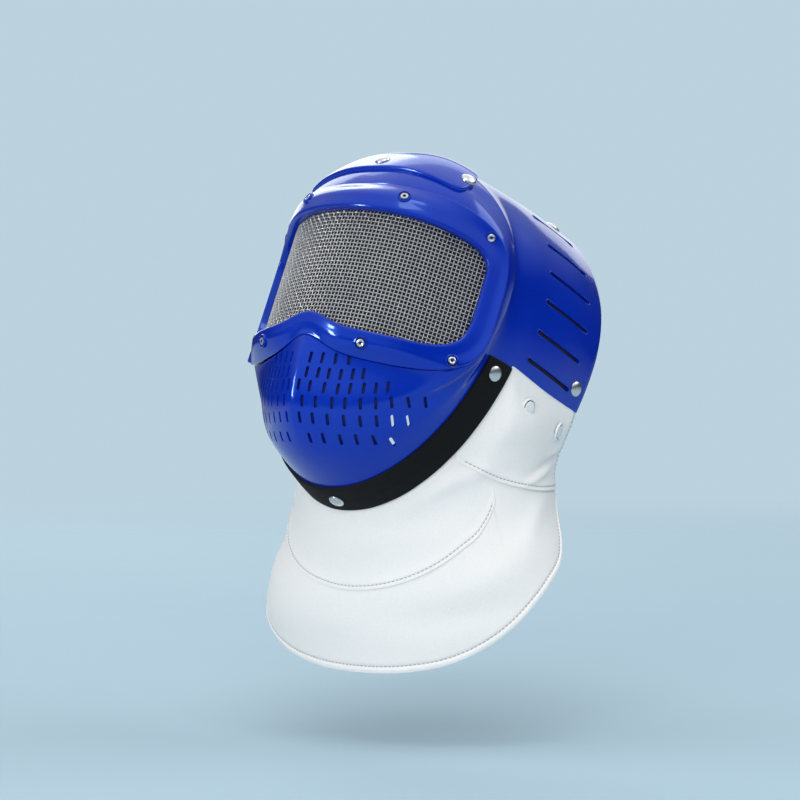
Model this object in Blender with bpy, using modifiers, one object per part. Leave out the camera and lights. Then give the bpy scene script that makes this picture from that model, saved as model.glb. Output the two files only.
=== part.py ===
# Fencing mask with a plastic shell, a wire visor and a white bib.
# Lengths are metres. The helmet is modelled upright on a level head and then tipped back,
# because the bib hangs straight down while the wearer looks up.
# Helmet coordinates start at the chin's tip: +X is the wearer's left, -Y is the front.

import math

import bpy
import numpy as np
from mathutils import Matrix, Vector

# Shell
HALF_WIDTH = 0.113
HEIGHT = 0.288
DEPTH = 0.200
BROW_Y = -0.072
SHELL_WALL = 0.0028
TIP_ANGLE = math.radians(26.9)
CORNER_ANGLE = math.radians(106)

# The visor's mesh bends to an ellipse seen from above
VISOR_FRONT_Y = -0.0761
VISOR_BEND_WIDTH = 0.0904
VISOR_BEND_DEPTH = 0.0795
VISOR_STRAIGHT_X = 0.0724

# Bezel and mesh
BEZEL_LIP = 0.0032
MESH_SETBACK = 0.0040
MESH_THICK = 0.0010
MESH_BORDER = 0.30
CLEARANCE = 0.0003
FACET_GAP = 0.0008
# The frame's section from the window outwards: share of its width, rise as a share of the lip
BEZEL_SECTION = [
    dict(out=0.00, rise=0.70), dict(out=0.07, rise=1.00), dict(out=0.16, rise=0.75),
    dict(out=0.30, rise=0.375), dict(out=0.50, rise=0.375), dict(out=0.68, rise=0.375),
    dict(out=0.84, rise=0.375), dict(out=0.965, rise=0.19),
]

# Vents
SLOT_COUNT = 6
SLOT_PITCH = 0.0246
SLOT_LOW_Z = 0.132
SLOT_START_Y = 0.053
SLOT_LENGTH = 0.055
SLOT_WIDTH = 0.0032
SLIT_LENGTH = 0.0085
SLIT_WIDTH = 0.0024
SLIT_RISE = 4.2
CUT_DEPTH = 0.016

# Plate, strap and fasteners
PLATE_THICK = 0.0020
PLATE_HALF_SPAN = math.radians(36)
PLATE_LOW_RING = 1.62
PLATE_HIGH_RING = 3.55
PLATE_ROUND_START = 0.70
STRAP_THICK = 0.0016
SCREW_RADIUS = 0.0052
SCREW_HEIGHT = 0.0022
RIVET_RADIUS = 0.0060
RIVET_HEIGHT = 0.0024
SNAP_RADIUS = 0.0075
SNAP_HEIGHT = 0.0022
BUTTON_STEPS = 10
# Screws across and up on the bezel; rivets by degrees from the crown and by ring;
# snap caps by degrees from the front and by share of BIB_DROP
SCREW_PLACES = [dict(x=0.045, z=0.205), dict(x=0.0956, z=0.1975), dict(x=0.0943, z=0.0955),
                dict(x=0.045, z=0.088)]
CROWN_RIVETS = [dict(degrees=0, ring=2.05), dict(degrees=33.2, ring=2.37), dict(degrees=-33.2, ring=2.37)]
STRAP_RIVETS = [dict(degrees=180, ring=4.55), dict(degrees=110.5, ring=4.55),
                dict(degrees=-110.5, ring=4.55)]
REAR_RIVETS = [dict(degrees=100.7, ring=6.72), dict(degrees=-100.7, ring=6.72),
               dict(degrees=27, ring=6.60), dict(degrees=-27, ring=6.60)]
SNAP_PLACES = [dict(degrees=80, share=0.41), dict(degrees=105, share=0.27)]

# Bib, in the hanging frame, from the chin's tip
CLOTH_THICK = 0.0020
SEAM_GAP = 0.0004
EDGE_GAP = 0.0009
CLOTH_COLUMNS = 20
YOKE_COLUMN = 11
PANEL_COLUMN = 8
BIB_DROP = 0.141
NECK_HALF_WIDTH = 0.103
NECK_FRONT_Y = 0.026
BACK_EDGE_ANGLE = math.radians(118)
# How far below the shell the cloth still follows its edge, and the least height of a cloth piece
PULL_REACH = 0.045
LEAST_CLOTH = 0.0015

# Where the head's crown meets the shell's inside
HEAD_SEAT_Y = 0.045

# Feature lines of the shell, from the window's edge to the rear rim.
# Heights are shares of HEIGHT, widths of HALF_WIDTH, depths of DEPTH behind BROW_Y.
RINGS = [
    dict(top_z=0.672, top_y=0.012, width=0.865, side_y=0.290, side_z=0.540, low_z=0.338,
         low_y=0.012, top_round=5.2, low_round=5.1, top_bow=2.4, low_bow=2.40, nose=0.036),
    dict(top_z=0.765, top_y=0.032, width=0.955, side_y=0.347, side_z=0.495, low_z=0.273,
         low_y=-0.020, top_round=4.05, low_round=3.75, top_bow=2.3, low_bow=1.35, nose=0.036),
    dict(top_z=0.851, top_y=0.115, width=0.945, side_y=0.410, side_z=0.556, low_z=0.140,
         low_y=0.015, top_round=2.7, low_round=2.33, top_bow=2.5, low_bow=1.38, nose=0.0),
    dict(top_z=0.911, top_y=0.210, width=0.918, side_y=0.428, side_z=0.570, low_z=0.050,
         low_y=0.150, top_round=2.4, low_round=2.15, top_bow=2.4, low_bow=1.60, nose=0.0),
    dict(top_z=0.936, top_y=0.330, width=0.904, side_y=0.450, side_z=0.586, low_z=0.002,
         low_y=0.360, top_round=2.2, low_round=2.05, top_bow=2.2, low_bow=2.00, nose=0.0),
    dict(top_z=0.955, top_y=0.540, width=0.940, side_y=0.575, side_z=0.600, low_z=-0.017,
         low_y=0.500, top_round=2.2, low_round=2.05, top_bow=2.0, low_bow=1.95, nose=0.0),
    dict(top_z=0.979, top_y=0.765, width=0.983, side_y=0.785, side_z=0.592, low_z=-0.038,
         low_y=0.775, top_round=2.1, low_round=2.0, top_bow=2.0, low_bow=2.00, nose=0.0),
    dict(top_z=1.000, top_y=0.995, width=1.000, side_y=0.995, side_z=0.572, low_z=-0.038,
         low_y=1.030, top_round=2.0, low_round=1.8, top_bow=2.0, low_bow=2.00, nose=0.0),
]
# The bezel's outer edge stands wider than the shell at its sides
BEZEL_EDGE = dict(RINGS[1], width=0.985)
NOSE_HALF_WIDTH = 0.020
JAW_RING = 5.0
REAR_RING = 7.0
STRAP_RING = 4.0
# Where the flange under the bezel lies flat, and where its step begins
FLANGE_ROW = 0.45
STEP_START = 0.88
SHELL_ROWS = [0.03, FLANGE_ROW, STEP_START, 1.0, 1.6, 2.1, 2.7, 3.35, STRAP_RING, JAW_RING, 6.0, REAR_RING]
UPPER_COLUMNS = 34
LOWER_COLUMNS = 26

# Level sections of the hanging cloth: height and front as shares of BIB_DROP and NECK_FRONT_Y,
# half width and half depth as shares of NECK_HALF_WIDTH.
CLOTH_SECTIONS = [
    dict(height=-1.00, front=1.30, width=1.28, depth=0.93),
    dict(height=-0.62, front=1.04, width=1.25, depth=0.93),
    dict(height=-0.37, front=1.02, width=1.14, depth=0.925),
    dict(height=-0.16, front=1.00, width=1.03, depth=0.922),
    dict(height=0.00, front=1.00, width=1.00, depth=0.922),
    dict(height=0.39, front=0.69, width=1.085, depth=1.05),
    dict(height=0.80, front=0.50, width=1.14, depth=1.12),
]

# Lines on the cloth: height as a share of BIB_DROP at an angle in degrees from the front
HEM = [(0, -1.00), (20, -0.98), (35, -0.93), (50, -0.83), (61, -0.73), (72, -0.62), (82, -0.53),
       (100, -0.38), (112, -0.21), (118, -0.075)]
YOKE_SEAM = [(0, -0.555), (17, -0.52), (31, -0.445), (46, -0.32), (58, -0.205), (65, -0.07), (67, 0.025)]
PANEL_SEAM = [(46, 0.15), (67, 0.028), (87, -0.028), (118, -0.050)]

# Rows of chin slits: height at the middle line, and slit places across, as shares
SLIT_ROWS = [
    dict(height=0.253, places=(0.075, 0.150, 0.225, 0.300)),
    dict(height=0.214, places=(0.072, 0.138, 0.204, 0.270, 0.334, 0.390)),
    dict(height=0.177, places=(0.042, 0.115, 0.192, 0.270, 0.337, 0.404, 0.466, 0.528)),
    dict(height=0.140, places=(0.075, 0.160, 0.246, 0.322, 0.398, 0.472, 0.547, 0.616, 0.685)),
    dict(height=0.103, places=(0.050, 0.137, 0.223, 0.305, 0.389, 0.466, 0.540, 0.605)),
    dict(height=0.066, places=(0.085, 0.176, 0.268, 0.357, 0.440, 0.512)),
]


def smooth(value):
    value = min(max(value, 0.0), 1.0)
    return value * value * (3 - 2 * value)


def read_line(line, angle):
    degrees = [row[0] for row in line]
    heights = [row[1] for row in line]
    return float(np.interp(math.degrees(abs(angle)), degrees, heights))


def blend_rows(rows, place):
    # Catmull-Rom through the rows of a table
    last = len(rows) - 1
    place = min(max(place, 0.0), last - 1e-9)
    index = int(place)
    u = place - index
    mixed = {}
    for key in rows[0]:
        p1 = rows[index][key]
        p2 = rows[index + 1][key]
        p0 = rows[index - 1][key] if index > 0 else 2 * p1 - p2
        p3 = rows[index + 2][key] if index + 2 <= last else 2 * p2 - p1
        mixed[key] = 0.5 * (2 * p1 + (p2 - p0) * u + (2 * p0 - 5 * p1 + 4 * p2 - p3) * u ** 2
                            + (3 * p1 - p0 - 3 * p2 + p3) * u ** 3)
    return mixed


def visor_y(x):
    # an ellipse that runs straight on past its sides
    bent = min(abs(x), VISOR_STRAIGHT_X) / VISOR_BEND_WIDTH
    root = math.sqrt(1 - bent ** 2)
    slope = VISOR_BEND_DEPTH / VISOR_BEND_WIDTH * bent / root
    return VISOR_FRONT_Y + VISOR_BEND_DEPTH * (1 - root) + slope * max(abs(x) - VISOR_STRAIGHT_X, 0.0)


def row_point(row, angle, place):
    # angle goes round the face from the crown; near the window the depth is the visor's
    side = abs(math.sin(angle))
    up = math.cos(angle)
    roundness = row["top_round"] if up >= 0 else row["low_round"]
    reach = side ** (2 / roundness)
    climb = abs(up) ** (2 / roundness)
    x = math.copysign(row["width"] * HALF_WIDTH * reach, math.sin(angle))
    end_z = row["top_z"] if up >= 0 else row["low_z"]
    end_y = row["top_y"] if up >= 0 else row["low_y"]
    bow = row["top_bow"] if up >= 0 else row["low_bow"]
    z = HEIGHT * (row["side_z"] + (end_z - row["side_z"]) * climb)
    if up < 0:
        z += HEIGHT * row["nose"] * math.exp(-(x / NOSE_HALF_WIDTH) ** 2)
    y = BROW_Y + DEPTH * (end_y + (row["side_y"] - end_y) * reach ** bow)
    on_visor = 1 - smooth((place - 0.4) / 0.6)
    return Vector((x, on_visor * visor_y(x) + (1 - on_visor) * y, z))


def shell_point(angle, ring):
    # ring goes from the window back to the rim
    return row_point(blend_rows(RINGS, ring), angle, ring)


def bezel_point(angle, share):
    # share goes from the window's edge to the bezel's outer edge
    return row_point(blend_rows([RINGS[0], BEZEL_EDGE], share), angle, share)


def normal_of(surface, angle, place, last):
    turn = 0.004
    along = surface(angle + turn, place) - surface(angle - turn, place)
    low = max(place - 0.02, 0.0)
    high = min(place + 0.02, last)
    outward = along.cross(surface(angle, high) - surface(angle, low))
    return outward.normalized()


def shell_normal(angle, ring):
    return normal_of(shell_point, angle, ring, REAR_RING)


def bezel_normal(angle, share):
    return normal_of(bezel_point, angle, share, 1.0)


def on_shell(angle, ring, rise=0.0):
    return shell_point(angle, ring) + shell_normal(angle, ring) * rise


def on_bezel(angle, share, rise=0.0):
    return bezel_point(angle, share) + bezel_normal(angle, share) * rise


def shell_face(angle, ring, rise=0.0):
    # the shell's outer face, which steps in under the bezel and the mesh
    full = MESH_SETBACK + MESH_THICK + FACET_GAP
    start = STEP_START - (STEP_START - FLANGE_ROW) * abs(math.sin(angle)) ** 6
    depth = full * (1 - smooth((ring - start) / (1.0 - start)))
    return on_shell(angle, ring, rise - depth)


def tipped(point):
    return Matrix.Rotation(-TIP_ANGLE, 3, "X") @ point


def find_crown_ring(y):
    # the ring at which the crown's middle line reaches a depth
    return min(spread(4.0, 6.0, 801), key=lambda ring: abs(shell_point(0.0, ring).y - y))


def clear_scene():
    for item in list(bpy.data.objects):
        bpy.data.objects.remove(item, do_unlink=True)


def make_material(name, colour, roughness, metallic=0.0):
    material = bpy.data.materials.new(name)
    material.use_nodes = True
    shader = material.node_tree.nodes["Principled BSDF"]
    shader.inputs["Base Color"].default_value = (*colour, 1)
    shader.inputs["Roughness"].default_value = roughness
    shader.inputs["Metallic"].default_value = metallic
    material.diffuse_color = (*colour, 1)
    return material


def add_object(name, points, faces, material, parent, collection):
    mesh = bpy.data.meshes.new(name)
    mesh.from_pydata([tuple(p) for p in points], [], faces)
    mesh.materials.append(material)
    mesh.update()
    item = bpy.data.objects.new(name, mesh)
    collection.objects.link(item)
    item.parent = parent
    return item


def smooth_shade(item, angle=35):
    item.data.shade_smooth()
    item.data.set_sharp_from_angle(angle=math.radians(angle))


def add_facets(item):
    # flat triangles, so that every step after this one reads the same surface
    facets = item.modifiers.new("facets", "TRIANGULATE")
    facets.quad_method = "FIXED"


def add_solidify(item, thickness, even=True):
    wall = item.modifiers.new("wall", "SOLIDIFY")
    wall.thickness = thickness
    wall.offset = -1
    wall.use_even_offset = even
    add_facets(item)


def grid_faces(columns, rows, closed=False):
    faces = []
    for i in range(columns if closed else columns - 1):
        right = (i + 1) % columns
        for j in range(rows - 1):
            faces.append((i * rows + j, right * rows + j, right * rows + j + 1, i * rows + j + 1))
    return faces


def spread(first, last, count):
    return [first + (last - first) * i / (count - 1) for i in range(count)]


def face_columns():
    # angles all the way round, closer together at the crown and the chin, where the rings turn
    # fast, with a column on each rear corner
    upper = UPPER_COLUMNS // 2
    lower = LOWER_COLUMNS // 2
    over = [CORNER_ANGLE * (k / upper) ** 1.6 for k in range(upper + 1)]
    under = [math.pi - (math.pi - CORNER_ANGLE) * (k / lower) ** 1.8 for k in range(lower)]
    right = over + under[::-1]
    left = [-angle for angle in right[1:-1]]
    return left[::-1] + right


def strap_columns():
    first = CORNER_ANGLE + 0.01
    reach = math.pi - first
    half = LOWER_COLUMNS // 2
    right = [math.pi - reach * (k / half) ** 1.8 for k in range(half + 1)]
    return right[::-1] + [2 * math.pi - angle for angle in right[1:]]


def build_shell(material, parent, collection, cutters):
    columns = face_columns()
    jaw_row = SHELL_ROWS.index(JAW_RING)
    points = []
    faces = []
    ids = {}
    for i, angle in enumerate(columns):
        last_row = len(SHELL_ROWS) if abs(angle) <= CORNER_ANGLE + 1e-6 else jaw_row + 1
        for j in range(last_row):
            ids[i, j] = len(points)
            points.append(shell_face(angle, SHELL_ROWS[j]))
    for i in range(len(columns)):
        right = (i + 1) % len(columns)
        for j in range(len(SHELL_ROWS) - 1):
            corner = (i, j), (right, j), (right, j + 1), (i, j + 1)
            if all(key in ids for key in corner):
                faces.append([ids[key] for key in corner])
    shell = add_object("helmet_shell", points, faces, material, parent, collection)
    add_solidify(shell, SHELL_WALL, even=False)
    cutter = build_cutter(material, parent, cutters)
    cut = shell.modifiers.new("vents", "BOOLEAN")
    cut.object = cutter
    cut.operation = "DIFFERENCE"
    cut.solver = "EXACT"
    smooth_shade(shell)
    return shell


def box_at(centre, along, out, length, width, rounded):
    # a prism through the wall, along one tangent, with pointed ends where it is rounded
    along = (along - out * along.dot(out)).normalized()
    across = out.cross(along)
    half = length / 2
    side = width / 2
    if rounded:
        outline = [(-half, 0), (-half + side, -side), (half - side, -side), (half, 0),
                   (half - side, side), (-half + side, side)]
    else:
        outline = [(-half, -side), (half, -side), (half, side), (-half, side)]
    points = []
    for depth in (-CUT_DEPTH / 2, CUT_DEPTH / 2):
        points += [centre + along * a + across * b + out * depth for a, b in outline]
    count = len(outline)
    faces = [list(range(count))[::-1], [count + k for k in range(count)]]
    for k in range(count):
        after = (k + 1) % count
        faces.append([k, after, count + after, count + k])
    return points, faces


def slit_places():
    places = []
    for row in SLIT_ROWS:
        for share in row["places"]:
            x = share * HALF_WIDTH
            z = row["height"] * HEIGHT + SLIT_RISE * x * x
            angle, ring = find_on_front(x, z)
            places.append((angle, ring))
            places.append((-angle, ring))
    return places


def find_on_front(x, z):
    # nearest place on the lower face, judged by x and z alone
    best = None
    for angle in spread(math.radians(110), math.radians(180), 71):
        for ring in spread(1.0, 4.0, 91):
            point = shell_point(angle, ring)
            miss = (point.x - x) ** 2 + (point.z - z) ** 2
            if best is None or miss < best[0]:
                best = (miss, angle, ring)
    return best[1], best[2]


def find_on_side(y, z):
    # nearest place on the barrel, judged by y and z alone
    best = None
    for angle in spread(math.radians(25), CORNER_ANGLE, 82):
        for ring in spread(4.6, REAR_RING, 61):
            point = shell_point(angle, ring)
            miss = (point.y - y) ** 2 + (point.z - z) ** 2
            if best is None or miss < best[0]:
                best = (miss, angle, ring)
    return best[1], best[2]


def build_cutter(material, parent, collection):
    points = []
    faces = []

    def keep(new_points, new_faces):
        start = len(points)
        points.extend(new_points)
        faces.extend([[start + k for k in face] for face in new_faces])

    for angle, ring in slit_places():
        out = shell_normal(angle, ring)
        upright = Vector((1, 0, 0)).cross(out)
        keep(*box_at(shell_point(angle, ring), upright, out, SLIT_LENGTH, SLIT_WIDTH, False))
    for k in range(SLOT_COUNT):
        z = SLOT_LOW_Z + k * SLOT_PITCH
        angle, ring = find_on_side(SLOT_START_Y + SLOT_LENGTH / 2, z)
        for side in (1, -1):
            centre = shell_point(side * angle, ring)
            out = shell_normal(side * angle, ring)
            keep(*box_at(centre, Vector((0, 1, 0)), out, SLOT_LENGTH, SLOT_WIDTH, True))
    cutter = add_object("vent_cutter", points, faces, material, parent, collection)
    cutter.hide_render = True
    cutter.display_type = "WIRE"
    return cutter


def build_bezel(material, parent, collection):
    under = -MESH_SETBACK + FACET_GAP
    columns = face_columns()
    points = []
    for angle in columns:
        points.append(on_bezel(angle, 0.0, under))
        points += [on_bezel(angle, row["out"], row["rise"] * BEZEL_LIP) for row in BEZEL_SECTION]
        points.append(shell_face(angle, STEP_START, 2 * FACET_GAP))
        points.append(shell_face(angle, FLANGE_ROW, FACET_GAP))
        points.append(on_bezel(angle, MESH_BORDER + 0.03, under))
    count = len(BEZEL_SECTION) + 4
    faces = []
    for i in range(len(columns)):
        right = (i + 1) % len(columns)
        for j in range(count):
            after = (j + 1) % count
            faces.append((i * count + j, right * count + j, right * count + after, i * count + after))
    bezel = add_object("visor_bezel", points, faces, material, parent, collection)
    add_facets(bezel)
    smooth_shade(bezel)
    return bezel


def build_mesh(material, parent, collection):
    # a plain curved sheet that stands for the woven wire, held under the bezel
    columns = face_columns()
    centre_z = HEIGHT * RINGS[0]["side_z"]
    shares = (0.45, 0.9, 1.0)
    points = []
    for angle in columns:
        edge = shell_point(angle, MESH_BORDER)
        for share in shares:
            x = edge.x * share
            z = centre_z + (edge.z - centre_z) * share
            points.append(visor_surface(x, z, -MESH_SETBACK))
    points.append(visor_surface(0.0, centre_z, -MESH_SETBACK))
    middle = len(points) - 1
    faces = grid_faces(len(columns), len(shares), closed=True)
    for i in range(len(columns)):
        right = (i + 1) % len(columns)
        faces.append((i * len(shares), middle, right * len(shares)))
    sheet = add_object("visor_mesh", points, faces, material, parent, collection)
    add_solidify(sheet, MESH_THICK)
    smooth_shade(sheet)
    return sheet


def visor_surface(x, z, rise):
    step = 0.0005
    slope = (visor_y(x + step) - visor_y(x - step)) / (2 * step)
    out = Vector((slope, -1, 0)).normalized()
    return Vector((x, visor_y(x), z)) + out * rise


def build_crown_plate(material, parent, collection):
    # a plate over the brow from side to side, with round ends
    across = spread(-1, 1, 21)
    along = spread(-1, 1, 5)
    points = []
    for u in across:
        low = PLATE_LOW_RING - 0.25 * smooth(abs(u) / 0.75) + 0.10 * smooth(abs(u))
        middle = (low + PLATE_HIGH_RING) / 2
        past = max(abs(u) - PLATE_ROUND_START, 0.0) / (1 - PLATE_ROUND_START)
        half = (PLATE_HIGH_RING - low) / 2 * max(math.sqrt(max(1 - past ** 2, 0.0)), 0.12)
        for v in along:
            points.append(on_shell(PLATE_HALF_SPAN * u, middle + half * v, FACET_GAP + PLATE_THICK))
    faces = grid_faces(len(across), len(along))
    plate = add_object("crown_plate", points, faces, material, parent, collection)
    add_solidify(plate, PLATE_THICK)
    smooth_shade(plate)
    return plate


def build_strap(material, parent, collection):
    # webbing along the jaw, cut square at the ear
    columns = strap_columns()
    rings = (STRAP_RING, 4.33, 4.66, JAW_RING)
    points = []
    for angle in columns:
        for ring in rings:
            points.append(on_shell(angle, ring, FACET_GAP + STRAP_THICK))
    faces = grid_faces(len(columns), len(rings))
    strap = add_object("chin_strap", points, faces, material, parent, collection)
    add_solidify(strap, STRAP_THICK)
    smooth_shade(strap)
    return strap


def cloth_section(height):
    # front, half width and half depth of the hanging cloth at a height above the chin's tip
    heights = [row["height"] for row in CLOTH_SECTIONS]
    sizes = []
    for key, unit in (("front", NECK_FRONT_Y), ("width", NECK_HALF_WIDTH), ("depth", NECK_HALF_WIDTH)):
        values = [row[key] for row in CLOTH_SECTIONS]
        sizes.append(float(np.interp(height / BIB_DROP, heights, values)) * unit)
    return sizes


def cloth_point(angle, height):
    front, width, depth = cloth_section(height)
    return Vector((width * math.sin(angle), front + depth - depth * math.cos(angle), height))


def cloth_angle(point):
    front, width, depth = cloth_section(point.z)
    return math.atan2(point.x / width, (front + depth - point.y) / depth)


def shell_edge():
    # the shell's lower edge in the hanging frame, from the chin to the rear corner
    edge = []
    drop = -SHELL_WALL / 2 + CLOTH_THICK / 2
    for angle in spread(math.pi, CORNER_ANGLE, 50):
        edge.append(tipped(on_shell(angle, JAW_RING, drop)))
    for ring in spread(JAW_RING, REAR_RING, 20)[1:]:
        edge.append(tipped(on_shell(CORNER_ANGLE, ring, drop)))
    return edge


def build_cloth(name, angles, top, bottom, rows, edge, material, parent, collection):
    # top and bottom give a height for an angle; the shell's edge pulls the cloth to itself
    edge_angles = [cloth_angle(point) for point in edge]
    edge_heights = [point.z for point in edge]
    offsets = [point - cloth_point(cloth_angle(point), point.z) for point in edge]
    points = []
    for angle in angles:
        size = abs(angle)
        limit = float(np.interp(size, edge_angles, edge_heights))
        pull = Vector([float(np.interp(size, edge_angles, [o[k] for o in offsets])) for k in range(3)])
        pull.x *= math.copysign(1, angle)
        high = top(size, limit)
        low = min(bottom(size, limit), high - LEAST_CLOTH)
        for j in range(rows):
            height = high + (low - high) * j / (rows - 1)
            hold = 1 - smooth((limit - height) / PULL_REACH)
            points.append(cloth_point(angle, height) + pull * hold)
    faces = [face[::-1] for face in grid_faces(len(angles), rows)]
    item = add_object(name, points, faces, material, parent, collection)
    add_solidify(item, CLOTH_THICK, even=False)
    smooth_shade(item)
    return item


def build_bib(material, parent, collection):
    edge = shell_edge()
    step = BACK_EDGE_ANGLE / CLOTH_COLUMNS
    columns = [k * step for k in range(CLOTH_COLUMNS + 1)]
    panel_start = columns[PANEL_COLUMN]
    yoke_end = columns[YOKE_COLUMN]
    yoke_angles = [-a for a in columns[YOKE_COLUMN:0:-1]] + columns[:YOKE_COLUMN + 1]
    turn = 6 * SEAM_GAP / NECK_HALF_WIDTH
    skirt_half = columns[:YOKE_COLUMN + 1] + [yoke_end + turn] + columns[YOKE_COLUMN + 1:]
    skirt_angles = [-a for a in skirt_half[:0:-1]] + skirt_half

    def seam(line, size):
        return read_line(line, size) * BIB_DROP

    def under_shell(size, limit):
        return limit - EDGE_GAP

    def under_panel(size, limit):
        if size < panel_start:
            return limit - EDGE_GAP
        return min(seam(PANEL_SEAM, size), limit - EDGE_GAP) - SEAM_GAP

    def over_skirt(size, limit):
        return seam(YOKE_SEAM, size) + SEAM_GAP

    def under_yoke(size, limit):
        if size > yoke_end + 0.5 * turn:
            return seam(PANEL_SEAM, size) - SEAM_GAP
        at_end = size > columns[YOKE_COLUMN - 1] + turn
        return seam(YOKE_SEAM, size) - (3 * SEAM_GAP if at_end else SEAM_GAP)

    def hem(size, limit):
        return seam(HEM, size)

    pieces = [
        build_cloth("bib_yoke", yoke_angles, under_panel, over_skirt, 4, edge,
                    material, parent, collection),
        build_cloth("bib_skirt", skirt_angles, under_yoke, hem, 5, edge,
                    material, parent, collection),
    ]
    for name, side in (("neck_panel_left", 1), ("neck_panel_right", -1)):
        angles = columns[PANEL_COLUMN:]
        if side < 0:
            angles = [-a for a in reversed(angles)]

        def panel_bottom(size, limit):
            return seam(PANEL_SEAM, size) + SEAM_GAP

        pieces.append(build_cloth(name, angles, under_shell, panel_bottom, 5, edge,
                                  material, parent, collection))
    return pieces


def seat_height(carrier, place, out, radius):
    # how far the carrier's facets rise above a round head's seat
    graph = bpy.context.evaluated_depsgraph_get()
    solid = carrier.evaluated_get(graph)
    across = out.orthogonal().normalized()
    other = out.cross(across)
    highest = None
    for reach in (0.0, 0.5, 1.0):
        for k in range(12):
            turn = math.tau * k / 12
            spot = place + (across * math.cos(turn) + other * math.sin(turn)) * radius * reach
            found, hit, _, _ = solid.ray_cast(spot + out * CUT_DEPTH / 2, -out, distance=CUT_DEPTH)
            if found:
                rise = (hit - place).dot(out)
                highest = rise if highest is None else max(highest, rise)
    return highest or 0.0


def build_button(name, carrier, place, out, radius, height, material, parent, collection):
    # a low domed head turned round its axis, seated on what carries it
    profile = [(0.0, 0.0), (radius * 0.94, 0.0), (radius, height * 0.30), (radius * 0.62, height * 0.86),
               (0.0, height)]
    mesh = bpy.data.meshes.new(name)
    mesh.from_pydata([(x, 0, z) for x, z in profile], [(k, k + 1) for k in range(len(profile) - 1)], [])
    mesh.materials.append(material)
    item = bpy.data.objects.new(name, mesh)
    collection.objects.link(item)
    turn = item.modifiers.new("turn", "SCREW")
    turn.steps = BUTTON_STEPS
    turn.render_steps = BUTTON_STEPS
    turn.use_merge_vertices = True
    turn.merge_threshold = 0.00005
    turn.use_normal_calculate = True
    item.location = place + out * (CLEARANCE + seat_height(carrier, place, out, radius))
    item.rotation_mode = "QUATERNION"
    item.rotation_quaternion = out.to_track_quat("Z", "Y")
    item.parent = parent
    return item


def add_screws(bezel, steel, parent, collection):
    # mirrored pairs
    number = 1
    for spot in SCREW_PLACES:
        best = None
        for angle in spread(math.radians(2), math.radians(178), 177):
            for share in (0.50, 0.56, 0.62, 0.68):
                point = bezel_point(angle, share)
                miss = (point.x - spot["x"]) ** 2 + (point.z - spot["z"]) ** 2
                if best is None or miss < best[0]:
                    best = (miss, angle, share)
        for side in (1, -1):
            angle = side * best[1]
            share = best[2]
            build_button(f"bezel_screw_{number}", bezel, on_bezel(angle, share), bezel_normal(angle, share),
                         SCREW_RADIUS, SCREW_HEIGHT, steel, parent, collection)
            number += 1


def add_rivets(shell, plate, strap, steel, parent, collection):
    rivets = [("crown_rivet", plate, CROWN_RIVETS), ("strap_rivet", strap, STRAP_RIVETS),
              ("rear_rivet", shell, REAR_RIVETS)]
    for name, carrier, places in rivets:
        for number, place in enumerate(places, 1):
            angle = math.radians(place["degrees"])
            build_button(f"{name}_{number}", carrier, shell_point(angle, place["ring"]),
                         shell_normal(angle, place["ring"]), RIVET_RADIUS, RIVET_HEIGHT, steel,
                         parent, collection)


def add_snaps(panels, material, parent, collection):
    number = 1
    for panel, side in zip(panels, (1, -1)):
        for spot in SNAP_PLACES:
            angle = side * math.radians(spot["degrees"])
            place = cloth_point(angle, spot["share"] * BIB_DROP)
            along = cloth_point(angle + 0.01, place.z) - cloth_point(angle - 0.01, place.z)
            out = along.cross(Vector((0, 0, 1))).normalized()
            build_button(f"snap_cap_{number}", panel, place, out, SNAP_RADIUS, SNAP_HEIGHT, material,
                         parent, collection)
            number += 1


def main():
    clear_scene()
    parts = bpy.data.collections.new("fencing_mask")
    cutters = bpy.data.collections.new("cutters")
    bpy.context.scene.collection.children.link(parts)
    bpy.context.scene.collection.children.link(cutters)
    seat = tipped(on_shell(0.0, find_crown_ring(HEAD_SEAT_Y), -SHELL_WALL))
    helmet = bpy.data.objects.new("helmet_frame", None)
    hanging = bpy.data.objects.new("hanging_frame", None)
    parts.objects.link(helmet)
    parts.objects.link(hanging)
    helmet.location = -seat
    helmet.rotation_euler.x = -TIP_ANGLE
    hanging.location = -seat

    blue = make_material("blue_plastic", (0.02, 0.09, 0.62), 0.22)
    wire = make_material("steel_mesh", (0.45, 0.45, 0.46), 0.35, 0.9)
    steel = make_material("steel", (0.70, 0.70, 0.72), 0.28, 1.0)
    webbing = make_material("black_webbing", (0.015, 0.015, 0.018), 0.75)
    leather = make_material("white_leather", (0.86, 0.87, 0.88), 0.48)

    shell = build_shell(blue, helmet, parts, cutters)
    bezel = build_bezel(blue, helmet, parts)
    build_mesh(wire, helmet, parts)
    plate = build_crown_plate(blue, helmet, parts)
    strap = build_strap(webbing, helmet, parts)
    panels = build_bib(leather, hanging, parts)[2:]
    add_screws(bezel, steel, helmet, parts)
    add_rivets(shell, plate, strap, steel, helmet, parts)
    add_snaps(panels, leather, hanging, parts)


main()
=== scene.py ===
import math

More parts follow.
